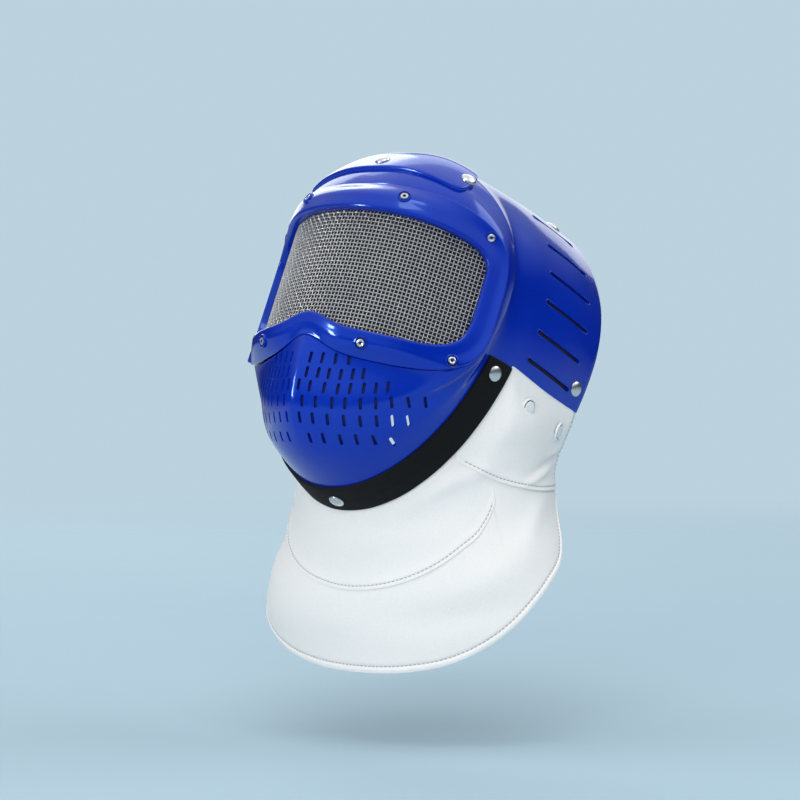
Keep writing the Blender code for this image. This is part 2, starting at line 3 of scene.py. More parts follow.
import bpy
import numpy as np
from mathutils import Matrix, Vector


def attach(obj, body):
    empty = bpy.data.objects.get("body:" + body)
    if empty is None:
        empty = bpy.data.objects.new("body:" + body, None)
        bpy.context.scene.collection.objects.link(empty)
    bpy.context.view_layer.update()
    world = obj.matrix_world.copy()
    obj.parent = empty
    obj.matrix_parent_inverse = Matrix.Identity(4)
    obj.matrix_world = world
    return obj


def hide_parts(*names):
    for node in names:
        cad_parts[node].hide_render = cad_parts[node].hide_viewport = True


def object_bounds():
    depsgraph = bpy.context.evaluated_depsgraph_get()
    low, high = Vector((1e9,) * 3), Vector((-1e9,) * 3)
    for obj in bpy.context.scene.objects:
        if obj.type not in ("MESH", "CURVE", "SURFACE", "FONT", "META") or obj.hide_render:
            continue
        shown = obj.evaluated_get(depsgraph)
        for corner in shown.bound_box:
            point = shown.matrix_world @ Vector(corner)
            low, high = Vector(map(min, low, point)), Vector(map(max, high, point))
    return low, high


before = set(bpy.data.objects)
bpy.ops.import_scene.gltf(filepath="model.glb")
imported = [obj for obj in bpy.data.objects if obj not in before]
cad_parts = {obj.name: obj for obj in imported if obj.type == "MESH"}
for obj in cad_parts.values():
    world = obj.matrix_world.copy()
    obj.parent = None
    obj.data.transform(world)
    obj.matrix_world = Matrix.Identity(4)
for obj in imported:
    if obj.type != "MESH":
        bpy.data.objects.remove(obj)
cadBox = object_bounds()  # the CAD box, printed at the end
print("frame loaded")


# The helmet's form, in metres, upright, with the chin's tip at zero.
# Rings run from the window's edge (0) back to the rear rim (7); heights are shares of height,
# widths of halfWidth, depths of depth behind browY.
helmet = {
    "halfWidth": 0.113,
    "height": 0.288,
    "depth": 0.200,
    "browY": -0.072,
    "wall": 0.0028,
    "tip": math.radians(26.9),  # the shell is tipped back over a bib that hangs straight
    "corner": math.radians(106),
    "noseHalfWidth": 0.020,
    "jawRing": 5.0,
    "rearRing": 7.0,
    "seatY": 0.045,
    "stepDepth": 0.0058,  # how far the shell steps in under the visor's frame
    "stepRing": 0.88,
    "stepWidens": 0.43,
    "stepPower": 6,
}
rings = [
    dict(topZ=0.672, topY=0.012, width=0.865, sideY=0.290, sideZ=0.540, lowZ=0.338,
         lowY=0.012, topRound=5.2, lowRound=5.1, topBow=2.4, lowBow=2.40, nose=0.036),
    dict(topZ=0.765, topY=0.032, width=0.955, sideY=0.347, sideZ=0.495, lowZ=0.273,
         lowY=-0.020, topRound=4.05, lowRound=3.75, topBow=2.3, lowBow=1.35, nose=0.036),
    dict(topZ=0.851, topY=0.115, width=0.945, sideY=0.410, sideZ=0.556, lowZ=0.140,
         lowY=0.015, topRound=2.7, lowRound=2.33, topBow=2.5, lowBow=1.38, nose=0.0),
    dict(topZ=0.911, topY=0.210, width=0.918, sideY=0.428, sideZ=0.570, lowZ=0.050,
         lowY=0.150, topRound=2.4, lowRound=2.15, topBow=2.4, lowBow=1.60, nose=0.0),
    dict(topZ=0.936, topY=0.330, width=0.904, sideY=0.450, sideZ=0.586, lowZ=0.002,
         lowY=0.360, topRound=2.2, lowRound=2.05, topBow=2.2, lowBow=2.00, nose=0.0),
    dict(topZ=0.955, topY=0.540, width=0.940, sideY=0.575, sideZ=0.600, lowZ=-0.017,
         lowY=0.500, topRound=2.2, lowRound=2.05, topBow=2.0, lowBow=1.95, nose=0.0),
    dict(topZ=0.979, topY=0.765, width=0.983, sideY=0.785, sideZ=0.592, lowZ=-0.038,
         lowY=0.775, topRound=2.1, lowRound=2.0, topBow=2.0, lowBow=2.00, nose=0.0),
    dict(topZ=1.000, topY=0.995, width=1.000, sideY=0.995, sideZ=0.572, lowZ=-0.038,
         lowY=1.030, topRound=2.0, lowRound=1.8, topBow=2.0, lowBow=2.00, nose=0.0),
]
visor = {
    "frontY": -0.0761,
    "bendWidth": 0.0904,
    "bendDepth": 0.0795,
    "straightX": 0.0724,
    "setback": 0.0040,
    "pitch": 0.0031,
    "wireRadius": 0.00043,
    "border": 0.30,
    "wireReach": 0.16,
    "wireSink": 0.0005,
    "wireSway": 0.95,
    "stepsPerPitch": 5,
    "leastSteps": 8,
    "wireSides": 6,
    # the dark sheet of painted shade behind the wires
    "screenReach": 0.20,
    "screenSink": 0.0006,
    "screenThick": 0.0003,
}
nudge = {"turn": 0.004, "ring": 0.02, "across": 0.0005}  # steps to each side of a point, for slopes


def smooth(value):
    value = np.clip(value, 0.0, 1.0)
    return value * value * (3 - 2 * value)


def blendRows(rows, place):  # Catmull-Rom through the rows of a table
    last = len(rows) - 1
    place = np.clip(place, 0.0, last - 1e-9)
    index = place.astype(int)
    u = place - index
    mixed = {}
    for key in rows[0]:
        v = np.array([row[key] for row in rows])
        v = np.concatenate([[2 * v[0] - v[1]], v, [2 * v[-1] - v[-2]]])
        p0, p1, p2, p3 = (v[index + k] for k in range(4))
        mixed[key] = 0.5 * (2 * p1 + (p2 - p0) * u + (2 * p0 - 5 * p1 + 4 * p2 - p3) * u ** 2
                            + (3 * p1 - p0 - 3 * p2 + p3) * u ** 3)
    return mixed


def visorY(x):  # an ellipse that runs straight on past its sides
    bent = np.minimum(np.abs(x), visor["straightX"]) / visor["bendWidth"]
    root = np.sqrt(1 - bent ** 2)
    slope = visor["bendDepth"] / visor["bendWidth"] * bent / root
    past = np.maximum(np.abs(x) - visor["straightX"], 0.0)
    return visor["frontY"] + visor["bendDepth"] * (1 - root) + slope * past


def rowPoint(row, angle, place):
    side = np.abs(np.sin(angle))
    up = np.cos(angle)
    over = up >= 0

    def pick(name):
        return np.where(over, row["top" + name], row["low" + name])

    reach = side ** (2 / pick("Round"))
    climb = np.abs(up) ** (2 / pick("Round"))
    x = row["width"] * helmet["halfWidth"] * reach * np.sign(np.sin(angle))
    z = helmet["height"] * (row["sideZ"] + (pick("Z") - row["sideZ"]) * climb)
    nose = helmet["height"] * row["nose"] * np.exp(-(x / helmet["noseHalfWidth"]) ** 2)
    z = z + np.where(over, 0.0, nose)
    y = helmet["browY"] + helmet["depth"] * (pick("Y") + (row["sideY"] - pick("Y")) * reach ** pick("Bow"))
    onVisor = 1 - smooth((place - 0.4) / 0.6)
    y = onVisor * visorY(x) + (1 - onVisor) * y
    return np.stack([x, y, z], -1)


def unit(vectors):
    return vectors / np.maximum(np.linalg.norm(vectors, axis=-1, keepdims=True), 1e-12)


def shellPoint(angle, ring):
    angle, ring = np.broadcast_arrays(np.asarray(angle, float), np.asarray(ring, float))
    return rowPoint(blendRows(rings, ring), angle, ring)


def bezelPoint(angle, share):
    angle, share = np.broadcast_arrays(np.asarray(angle, float), np.asarray(share, float))
    outer = dict(rings[1], width=0.985)
    return rowPoint(blendRows([rings[0], outer], share), angle, share)


def outOf(surface, angle, place, last):
    along = surface(angle + nudge["turn"], place) - surface(angle - nudge["turn"], place)
    low = np.maximum(np.asarray(place, float) - nudge["ring"], 0.0)
    high = np.minimum(np.asarray(place, float) + nudge["ring"], last)
    return unit(np.cross(along, surface(angle, high) - surface(angle, low)))


def onShell(angle, ring, rise=0.0):
    out = outOf(shellPoint, angle, ring, helmet["rearRing"])
    return shellPoint(angle, ring) + out * np.asarray(rise, float)[..., None]


def onBezel(angle, share, rise=0.0):
    out = outOf(bezelPoint, angle, share, 1.0)
    return bezelPoint(angle, share) + out * np.asarray(rise, float)[..., None]


def shellFace(angle, ring, rise=0.0):  # the outer face, stepped in under the frame and mesh
    start = helmet["stepRing"] - helmet["stepWidens"] * np.abs(np.sin(angle)) ** helmet["stepPower"]
    depth = helmet["stepDepth"] * (1 - smooth((ring - start) / (1.0 - start)))
    return onShell(angle, ring, rise - depth)


def tipped(points):
    c = math.cos(helmet["tip"])
    s = math.sin(helmet["tip"])
    points = np.asarray(points, float)
    x, y, z = points[..., 0], points[..., 1], points[..., 2]
    return np.stack([x, y * c + z * s, z * c - y * s], -1)


def findSeat():  # the inside of the shell's roof, the part's origin
    ring = np.linspace(4.0, 6.0, 801)
    angle = np.zeros_like(ring)
    best = np.argmin(np.abs(shellPoint(angle, ring)[:, 1] - helmet["seatY"]))
    return tipped(onShell(angle[best:best + 1], ring[best:best + 1], -helmet["wall"]))[0]


seat = findSeat()


def placed(points):  # helmet form to the part's own frame
    return tipped(points) - seat


print("helmet form ready")


# Shader building

class Signal:  # a shader socket that takes part in sums
    def __init__(self, nodes, socket):
        self.nodes = nodes
        self.socket = socket

    def work(self, kind, first, second):
        return self.nodes.node("Math", {"operation": kind}, {0: first, 1: second})

    def __add__(self, other):
        return self.work("ADD", self, other)

    def __radd__(self, other):
        return self.work("ADD", other, self)

    def __sub__(self, other):
        return self.work("SUBTRACT", self, other)

    def __rsub__(self, other):
        return self.work("SUBTRACT", other, self)

    def __mul__(self, other):
        return self.work("MULTIPLY", self, other)

    def __rmul__(self, other):
        return self.work("MULTIPLY", other, self)


class Nodes:  # a node tree and the one way to add to it
    def __init__(self, tree):
        self.tree = tree

    def plug(self, socket, value):
        if isinstance(value, Signal):
            self.tree.links.new(value.socket, socket)
        else:
            socket.default_value = value

    def node(self, kind, settings=None, inputs=None, output=0):
        node = self.tree.nodes.new("ShaderNode" + kind)
        for key, value in (settings or {}).items():
            if key == "stops":
                band = node.color_ramp.elements
                while len(band) < len(value):
                    band.new(0.5)
                for stop, (place, colour) in zip(band, value):
                    stop.position = place
                    stop.color = (*colour, 1)
            else:
                setattr(node, key, value)
        for key, value in (inputs or {}).items():
            self.plug(node.inputs[key], value)
        return Signal(self, node.outputs[output])

    def mix(self, share, first, second):  # colours
        return self.node("Mix", {"data_type": "RGBA"}, {0: share, 6: first, 7: second}, output=2)


class Finish(Nodes):  # one material
    def __init__(self, name, **fixed):
        self.material = bpy.data.materials.new(name)
        self.material.use_nodes = True
        super().__init__(self.material.node_tree)
        self.shader = self.tree.nodes["Principled BSDF"]
        self.set(**fixed)

    def set(self, **values):
        for key, value in values.items():
            name = "".join(" " + c if c.isupper() else c for c in key).strip().title()
            name = name.replace("Specular Level", "Specular IOR Level")
            self.plug(self.shader.inputs[name], value)

    def spot(self, stretch=(1, 1, 1)):  # the place in the part's frame, stretched
        here = self.node("TexCoord", output=3)
        return self.node("Mapping", inputs={"Vector": here, "Scale": stretch})

    def noise(self, scale, detail=3.0, rough=0.5, stretch=(1, 1, 1)):
        return self.node("TexNoise", inputs={"Vector": self.spot(stretch), "Scale": scale,
                                             "Detail": detail, "Roughness": rough})

    def ramp(self, value, low, high):  # spreads low..high to 0..1
        return self.node("MapRange", {"clamp": True}, {"Value": value, "From Min": low, "From Max": high})

    def relief(self, height, distance, strength=1.0, under=None):
        inputs = {"Strength": strength, "Distance": distance, "Height": height}
        if under is not None:
            inputs["Normal"] = under
        return self.node("Bump", inputs=inputs)


def makeFinishes():
    made = {}

    blue = Finish("blue_plastic", coatRoughness=0.04, specularLevel=0.75, specularTint=(0.16, 0.42, 1.0, 1))
    patch = blue.noise(9, 2)
    haze = blue.ramp(blue.noise(38, 5, 0.65), 0.45, 0.75)
    scuff = blue.ramp(blue.noise(55, 4, 0.7, stretch=(1, 0.12, 2.6)), 0.66, 0.74)
    peel = blue.noise(420, 2)
    shade = blue.ramp(patch, 0.35, 0.65)
    blue.set(baseColor=blue.mix(shade, (0.0006, 0.018, 0.34, 1), (0.0009, 0.026, 0.41, 1)),
             roughness=0.16 + haze * 0.05 + scuff * 0.10,
             coatWeight=0.36 - scuff * 0.18,
             normal=blue.relief(peel + patch * 0.6, 0.00002))
    made["blue"] = blue

    # the shell's inner face: the same blue plastic, matt; its darker colour is painted shade
    inner = Finish("inner_plastic_shaded")
    grain = inner.noise(900, 3)
    cloud = inner.noise(22, 3)
    inner.set(baseColor=inner.mix(cloud, (0.002, 0.010, 0.11, 1), (0.004, 0.018, 0.17, 1)),
              roughness=0.5 + grain * 0.15, normal=inner.relief(grain, 0.00008))
    made["inner"] = inner

    wire = Finish("steel_mesh", metallic=0.85)
    tone = wire.noise(140, 3)
    wire.set(baseColor=wire.mix(tone, (0.46, 0.46, 0.465, 1), (0.70, 0.69, 0.69, 1)),
             roughness=0.24 + tone * 0.14, normal=wire.relief(wire.noise(2600, 2), 0.00002))
    made["wire"] = wire

    # near black: painted shade for the inside of the mask, seen through the visor's wires
    screen = Finish("dark_screen")
    speck = screen.noise(1500, 2)
    screen.set(baseColor=screen.mix(speck, (0.003, 0.003, 0.004, 1), (0.009, 0.009, 0.011, 1)),
               roughness=0.75 + speck * 0.2, normal=screen.relief(speck, 0.0001))
    made["screen"] = screen

    steel = Finish("steel", metallic=1.0)
    brush = steel.noise(700, 4, 0.6, stretch=(1, 1, 6))
    dull = steel.noise(90, 3)
    steel.set(baseColor=steel.mix(dull, (0.60, 0.60, 0.60, 1), (0.80, 0.80, 0.79, 1)),
              roughness=0.20 + dull * 0.16 + brush * 0.06, normal=steel.relief(brush, 0.00003))
    made["steel"] = steel

    # near black: painted shade for each screw's socket and ring, and each snap's groove
    dark = Finish("painted_recess_shade", metallic=0.7)
    dim = dark.noise(300, 3)
    dark.set(baseColor=dark.mix(dim, (0.02, 0.02, 0.022, 1), (0.07, 0.07, 0.075, 1)),
             roughness=0.4 + dim * 0.2)
    made["dark"] = dark

    web = Finish("black_webbing", specularLevel=0.25)
    place = web.node("UVMap")
    along = web.node("SeparateXYZ", inputs={"Vector": place}, output=0)
    across = web.node("SeparateXYZ", inputs={"Vector": place}, output=1)
    lean = web.node("Math", {"operation": "PINGPONG"}, {0: across, 1: 0.0042})  # herringbone
    rib = web.node("Math", {"operation": "SINE"}, {0: (along + lean) * (math.tau / 0.0016)})
    cord = web.node("Math", {"operation": "SINE"}, {0: across * (math.tau / 0.0011)})
    fuzz = web.noise(1800, 3)
    weave = rib * 0.35 + cord * 0.25 + fuzz * 0.5
    raised = web.ramp(weave, -0.3, 0.9)
    # lighter where the weave stands up, darker in its hollows: painted shade between the threads, with
    # random fuzz tone
    web.set(baseColor=web.mix(raised, (0.0015, 0.0015, 0.0018, 1), (0.010, 0.0095, 0.011, 1)),
            roughness=0.70 + fuzz * 0.25, normal=web.relief(weave, 0.00022))
    made["web"] = web

    hide = Finish("white_leather", sheenWeight=0.10, sheenRoughness=0.6, specularLevel=0.4)
    cell = hide.node("TexVoronoi", {"feature": "DISTANCE_TO_EDGE"},
                     {"Vector": hide.spot(), "Scale": 950.0, "Randomness": 1.0}, output=0)
    pebble = hide.ramp(cell, 0.0, 0.25)
    wave = hide.noise(26, 4, 0.6)
    pore = hide.noise(1600, 2)
    soil = hide.ramp(hide.noise(7, 4, 0.6), 0.45, 0.75)
    base = hide.mix(soil, (0.93, 0.90, 0.87, 1), (0.90, 0.872, 0.845, 1))
    # the grain's crevices are tinted cool grey: painted shade in the creases
    hide.set(baseColor=hide.mix((1 - pebble) * 0.25, base, (0.62, 0.65, 0.68, 1)),
             roughness=0.46 + wave * 0.12 + pore * 0.06,
             normal=hide.relief(pebble * 0.6 + pore * 0.4, 0.00006, 0.8,
                                under=hide.relief(wave, 0.0009, 0.6)))
    made["hide"] = hide

    back = Finish("bib_lining", sheenWeight=0.1)
    knit = back.noise(1300, 3)
    back.set(baseColor=back.mix(knit, (0.010, 0.011, 0.014, 1), (0.030, 0.032, 0.038, 1)),
             roughness=0.75 + knit * 0.2, normal=back.relief(knit, 0.00015))
    made["back"] = back

    thread = Finish("thread", sheenWeight=0.1)
    twist = thread.noise(2400, 2)
    thread.set(baseColor=thread.mix(twist, (0.30, 0.31, 0.325, 1), (0.52, 0.535, 0.55, 1)),
               roughness=0.6 + twist * 0.2, normal=thread.relief(twist, 0.00008))
    made["thread"] = thread

    cap = Finish("white_cap", coatWeight=0.25, coatRoughness=0.15)
    mark = cap.noise(200, 3)
    cap.set(baseColor=cap.mix(mark, (0.76, 0.78, 0.80, 1), (0.83, 0.85, 0.86, 1)),
            roughness=0.34 + mark * 0.12)
    made["cap"] = cap
    return {key: finish.material for key, finish in made.items()}


finishes = makeFinishes()
print("finishes made:", len(finishes))


# Mesh building

def addPiece(name, mesh, replaced=()):
    piece = bpy.data.objects.new(name, mesh)
    bpy.context.scene.collection.objects.link(piece)
    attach(piece, "root")
    if replaced:
        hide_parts(*replaced)
    return piece


def makeMesh(name, points, faces, materials, uvs=None, picks=None):
    mesh = bpy.data.meshes.new(name)
    mesh.from_pydata(np.asarray(points, float).reshape(-1, 3).tolist(), [], faces)
    for material in materials:
        mesh.materials.append(material)
    if uvs is not None:
        layer = mesh.uv_layers.new(name="UVMap")
        order = np.zeros(len(mesh.loops), int)
        mesh.loops.foreach_get("vertex_index", order)
        layer.data.foreach_set("uv", np.asarray(uvs, float).reshape(-1, 2)[order].ravel())
    if picks is not None:
        mesh.polygons.foreach_set("material_index", picks)
    mesh.shade_smooth()
    mesh.update()
    return mesh


def gridFaces(columns, rows, closed=False, looped=False):
    faces = []
    for i in range(columns if closed else columns - 1):
        right = (i + 1) % columns
        for j in range(rows if looped else rows - 1):
            up = (j + 1) % rows
            faces.append((i * rows + j, right * rows + j, right * rows + up, i * rows + up))
    return faces


def runAlong(points):  # length run up to each point of a line, or of every line of a net
    steps = np.linalg.norm(np.diff(points, axis=-2), axis=-1)
    return np.concatenate([np.zeros_like(steps[..., :1]), np.cumsum(steps, -1)], -1)


def modify(piece, kind, **settings):
    step = piece.modifiers.new(kind.lower(), kind)
    for key, value in settings.items():
        setattr(step, key, value)


def settle(piece):  # keeps what the modifiers make as plain mesh
    bpy.context.view_layer.update()
    graph = bpy.context.evaluated_depsgraph_get()
    mesh = bpy.data.meshes.new_from_object(piece.evaluated_get(graph))
    piece.modifiers.clear()
    piece.data = mesh


def sharpen(piece, degrees):
    piece.data.shade_smooth()
    piece.data.set_sharp_from_angle(angle=math.radians(degrees))


def evenAngles(first, last, count, ring):  # equal steps along a ring of the shell
    fine = first + (last - first) * np.linspace(0, 1, 4001)
    run = runAlong(shellPoint(fine, np.full_like(fine, ring)))
    return np.interp(np.linspace(0, run[-1], count), run, fine)


def faceAngles(upper, lower):  # all the way round, with a column on each rear corner
    corner = helmet["corner"]
    over = evenAngles(1e-5, corner, upper + 1, 1.4)
    over[0] = 0.0
    under = evenAngles(corner, math.pi - 1e-5, lower + 1, 1.4)[1:]
    under[-1] = math.pi
    right = np.concatenate([over, under])
    return np.concatenate([-right[1:-1][::-1], right])


shellLook = {
    "upper": 84,
    "lower": 72,
    "edgeRound": 0.0007,
    "slitLength": 0.0088,
    "slitWidth": 0.0024,
    "slitRise": 4.2,
    "slotCount": 6,
    "slotPitch": 0.0246,
    "slotLowZ": 0.132,
    "slotStartY": 0.053,
    "slotLength": 0.055,
    "slotWidth": 0.0034,
    "lipRadius": 0.00045,
    "lipGap": 0.0006,
    "cutDepth": 0.016,
}
slitRows = [  # height, shares of halfWidth, and how many at the left end are open behind
    dict(height=0.253, places=(0.075, 0.150, 0.225, 0.300)),
    dict(height=0.214, places=(0.072, 0.138, 0.204, 0.270, 0.334, 0.390)),
    dict(height=0.177, places=(0.042, 0.115, 0.192, 0.270, 0.337, 0.404, 0.466, 0.528)),
    dict(height=0.140, places=(0.075, 0.160, 0.246, 0.322, 0.398, 0.472, 0.547, 0.616, 0.685)),
    dict(height=0.103, places=(0.050, 0.137, 0.223, 0.305, 0.389, 0.466, 0.540, 0.605), open=2),
    dict(height=0.066, places=(0.085, 0.176, 0.268, 0.357, 0.440, 0.512), open=1),
]


def nearest(angles, ringPlaces, axes, wanted):  # the place on the shell nearest on two axes
    a, r = np.meshgrid(angles, ringPlaces, indexing="ij")
    points = shellPoint(a, r)
    miss = sum((points[..., axis] - value) ** 2 for axis, value in zip(axes, wanted))
    best = np.unravel_index(np.argmin(miss), miss.shape)
    return float(a[best]), float(r[best])


def stadium(length, width, steps=7):  # a slot's outline with round ends
    half = length / 2 - width / 2
    turn = np.linspace(-math.pi / 2, math.pi / 2, steps)
    right = np.stack([half + width / 2 * np.cos(turn), width / 2 * np.sin(turn)], -1)
    return np.concatenate([right, -right])


def slotFrame(angle, ring, along):
    out = outOf(shellPoint, np.array([angle]), np.array([ring]), helmet["rearRing"])[0]
    along = unit(along - out * (along @ out))
    return shellPoint(np.array([angle]), np.array([ring]))[0], along, np.cross(out, along), out


def slitPlace(row, share):
    x = share * helmet["halfWidth"]
    return x, row["height"] * helmet["height"] + shellLook["slitRise"] * x * x


def ventPlaces():
    places = []
    front = np.radians(np.linspace(110, 180, 141))
    for row in slitRows:
        for share in row["places"]:
            angle, ring = nearest(front, np.linspace(1, 4, 181), (0, 2), slitPlace(row, share))
            for side in (1, -1):
                out = outOf(shellPoint, np.array([side * angle]), np.array([ring]), helmet["rearRing"])[0]
                places.append(("slit", *slotFrame(side * angle, ring, np.cross((1.0, 0.0, 0.0), out))))
    barrel = np.linspace(math.radians(25), helmet["corner"], 164)
    for k in range(shellLook["slotCount"]):
        y = shellLook["slotStartY"] + shellLook["slotLength"] / 2
        z = shellLook["slotLowZ"] + k * shellLook["slotPitch"]
        angle, ring = nearest(barrel, np.linspace(4.6, 7, 121), (1, 2), (y, z))
        for side in (1, -1):
            places.append(("slot", *slotFrame(side * angle, ring, np.array([0.0, 1.0, 0.0]))))
    return places


def buildVentCutter(places):
    points = []
    faces = []
    for kind, centre, along, across, out in places:
        outline = stadium(shellLook[kind + "Length"], shellLook[kind + "Width"])
        count = len(outline)
        start = len(points)
        for depth in (-shellLook["cutDepth"] / 2, shellLook["cutDepth"] / 2):
            points += [centre + along * a + across * b + out * depth for a, b in outline]
        faces.append([start + k for k in range(count)][::-1])
        faces.append([start + count + k for k in range(count)])
        faces += [[start + k, start + (k + 1) % count, start + count + (k + 1) % count, start + count + k]
                  for k in range(count)]
    mesh = makeMesh("vent_cutter", placed(points), faces, [finishes["blue"], finishes["inner"]])
    cutter = bpy.data.objects.new("vent_cutter", mesh)
    bpy.context.scene.collection.objects.link(cutter)
    return cutter


def buildShell():
    angles = faceAngles(shellLook["upper"], shellLook["lower"])
    rows = np.concatenate([[0.03, 0.2, 0.35, 0.45], np.linspace(0.45, 1.0, 15)[1:],
                           np.linspace(1.0, 5.0, 45)[1:], np.linspace(5.0, 7.0, 27)[1:]])
    jawRow = int(np.argmin(np.abs(rows - helmet["jawRing"])))
    points = placed(shellFace(angles[:, None], rows[None, :]))
    keep = np.ones(points.shape[:2], bool)
    keep[np.abs(angles) > helmet["corner"] + 1e-6, jawRow + 1:] = False
    ids = np.cumsum(keep.ravel()).reshape(keep.shape) - 1
    kept = keep.ravel()
    faces = [ids.ravel()[list(face)].tolist() for face in gridFaces(len(angles), len(rows), closed=True)
             if kept[list(face)].all()]
    mesh = makeMesh("shell", points[keep], faces, [finishes["blue"], finishes["inner"]])
    shell = addPiece("shell", mesh, ["helmet_shell"])
    modify(shell, "SOLIDIFY", thickness=helmet["wall"], offset=-1, material_offset=1)
    modify(shell, "BEVEL", width=shellLook["edgeRound"], segments=2, limit_method="ANGLE",
           angle_limit=math.radians(60))
    places = ventPlaces()
    cutter = buildVentCutter(places)
    modify(shell, "BOOLEAN", object=cutter, operation="DIFFERENCE", solver="EXACT")
    settle(shell)
    bpy.data.objects.remove(cutter)
    sharpen(shell, 38)
    print("shell:", len(shell.data.polygons), "faces")
    return places


def tubeRings(line, first, second, radius, sides):  # a ring of points round each point of a line
    turns = np.linspace(0, math.tau, sides, endpoint=False)[None, :, None]
    radius = np.broadcast_to(radius, len(line))[:, None, None]
    return line[:, None] + radius * (first[:, None] * np.cos(turns) + second[:, None] * np.sin(turns))


def tubeFaces(start, count, sides, closed=False):
    faces = []
    for i in range(count if closed else count - 1):
        here = start + i * sides
        after = start + (i + 1) % count * sides
        for k in range(sides):
            turned = (k + 1) % sides
            faces.append((here + k, here + turned, after + turned, after + k))
    if not closed:
        faces.append(tuple(start + k for k in range(sides))[::-1])
        faces.append(tuple(start + (count - 1) * sides + k for k in range(sides)))
    return faces


def tubeMesh(lines, radius, sides, closed=False):  # points and faces of tubes along lines
    points = []
    faces = []
    for line, side in lines:
        ahead = np.roll(line, -1, 0) - np.roll(line, 1, 0) if closed else np.gradient(line, axis=0)
        ahead = unit(ahead)
        first = unit(side - ahead * np.sum(side * ahead, -1, keepdims=True))
        faces += tubeFaces(len(points), len(line), sides, closed)
        points += tubeRings(line, first, np.cross(ahead, first), radius, sides).reshape(-1, 3).tolist()
    return points, faces


def buildSlotLips(places):  # the thin raised edge round each side slot
    a, r = np.meshgrid(np.linspace(math.radians(15), helmet["corner"], 240), np.linspace(4.4, 7, 140),
                       indexing="ij")
    net = shellPoint(a, r).reshape(-1, 3)
    lines = []
    for kind, centre, along, across, out in places:
        if kind != "slot":
            continue
        outline = stadium(shellLook["slotLength"] + shellLook["lipGap"],
                          shellLook["slotWidth"] + shellLook["lipGap"], 9)
        mirror = np.array([math.copysign(1, centre[0]), 1, 1])
        axis = out * mirror
        line = []
        for spot in centre + outline[:, :1] * along + outline[:, 1:] * across:
            rel = net - spot * mirror  # drop each point to the shell along the slot's own axis
            off = rel - (rel @ axis)[:, None] * axis
            miss = np.einsum("ij,ij->i", off, off)
            near = np.argsort(miss)[:4]
            weight = 1 / (miss[near] + 1e-9)
            line.append(spot + out * float(np.sum((rel[near] @ axis) * weight) / weight.sum()))
        lines.append((placed(np.array(line)), tipped(np.tile(out, (len(line), 1)))))
    points, faces = tubeMesh(lines, shellLook["lipRadius"], 8, closed=True)
    addPiece("slot_lips", makeMesh("slot_lips", points, faces, [finishes["blue"]]))


ventShadeLook = {
    "gap": 0.0008,
    "thick": 0.0008,
    "openRadius": 0.0042,  # left open round the slits that look pale
    "columns": 80,
    "rows": 30,
    "areas": {  # degrees from the crown, and rings, that each dark sheet of painted shade covers
        "left": dict(degrees=(24, 104), rings=(4.7, 6.92), skin="back"),
        "right": dict(degrees=(-104, -24), rings=(4.7, 6.92), skin="back"),
        "chin": dict(degrees=(118, 242), rings=(0.95, 3.60), skin="inner"),
    },
}


def buildVentShadeSheets():  # dark sheets of painted shade on the shell's inside, where they show through the vents
    look = ventShadeLook
    openSlits = [slitPlace(row, share) for row in slitRows if "open" in row
                 for share in row["places"][-row["open"]:]]
    for name, area in look["areas"].items():
        a, r = np.meshgrid(np.radians(np.linspace(*area["degrees"], look["columns"])),
                           np.linspace(*area["rings"], look["rows"]), indexing="ij")
        outside = shellPoint(a, r).reshape(-1, 3)
        bare = np.zeros(len(outside), bool)
        for x, z in openSlits:
            bare |= np.hypot(outside[:, 0] - x, outside[:, 2] - z) < look["openRadius"]
        faces = [face for face in gridFaces(*a.shape) if not bare[list(face)].any()]
        points = placed(onShell(a, r, -helmet["wall"] - look["gap"]))
        mesh = makeMesh("vent_lining_" + name, points, faces, [finishes[area["skin"]]])
        ventSheet = addPiece("vent_lining_" + name, mesh)
        modify(ventSheet, "SOLIDIFY", thickness=look["thick"], offset=-1)
        settle(ventSheet)


ventsMade = buildShell()
buildSlotLips(ventsMade)
buildVentShadeSheets()
print("shell built")


bezelLook = {
    "lip": 0.0032,
    "upper": 130,
    "lower": 110,
    "reach": 0.966,
    "seatGap": 0.0008,
    "tuck": 0.03,
    "underside": [(0.88, 0.0010), (0.45, 0.0006)],  # ring of the shell, and height over it
    "section": [  # share of the way out from the window, rise as a share of the lip
        dict(out=0.000, rise=0.35), dict(out=0.006, rise=0.62), dict(out=0.026, rise=0.86),
        dict(out=0.060, rise=0.97), dict(out=0.100, rise=1.00), dict(out=0.150, rise=0.97),
        dict(out=0.220, rise=0.90), dict(out=0.300, rise=0.81), dict(out=0.400, rise=0.71),
        dict(out=0.500, rise=0.62), dict(out=0.620, rise=0.54), dict(out=0.740, rise=0.46),
        dict(out=0.840, rise=0.40), dict(out=0.915, rise=0.355), dict(out=0.945, rise=0.30),
        dict(out=0.960, rise=0.19), dict(out=0.965, rise=0.02), dict(out=0.965, rise=-0.25),
    ],
}


def curveThrough(xs, ys, x):  # a smooth line through a table's points
    xs = np.asarray(xs, float)
    ys = np.asarray(ys, float)
    slopes = np.gradient(ys, xs)
    x = np.clip(x, xs[0], xs[-1])
    i = np.clip(np.searchsorted(xs, x) - 1, 0, len(xs) - 2)
    h = xs[i + 1] - xs[i]
    t = (x - xs[i]) / h
    return ((2 * t ** 3 - 3 * t ** 2 + 1) * ys[i] + (t ** 3 - 2 * t ** 2 + t) * h * slopes[i]
            + (3 * t ** 2 - 2 * t ** 3) * ys[i + 1] + (t ** 3 - t ** 2) * h * slopes[i + 1])


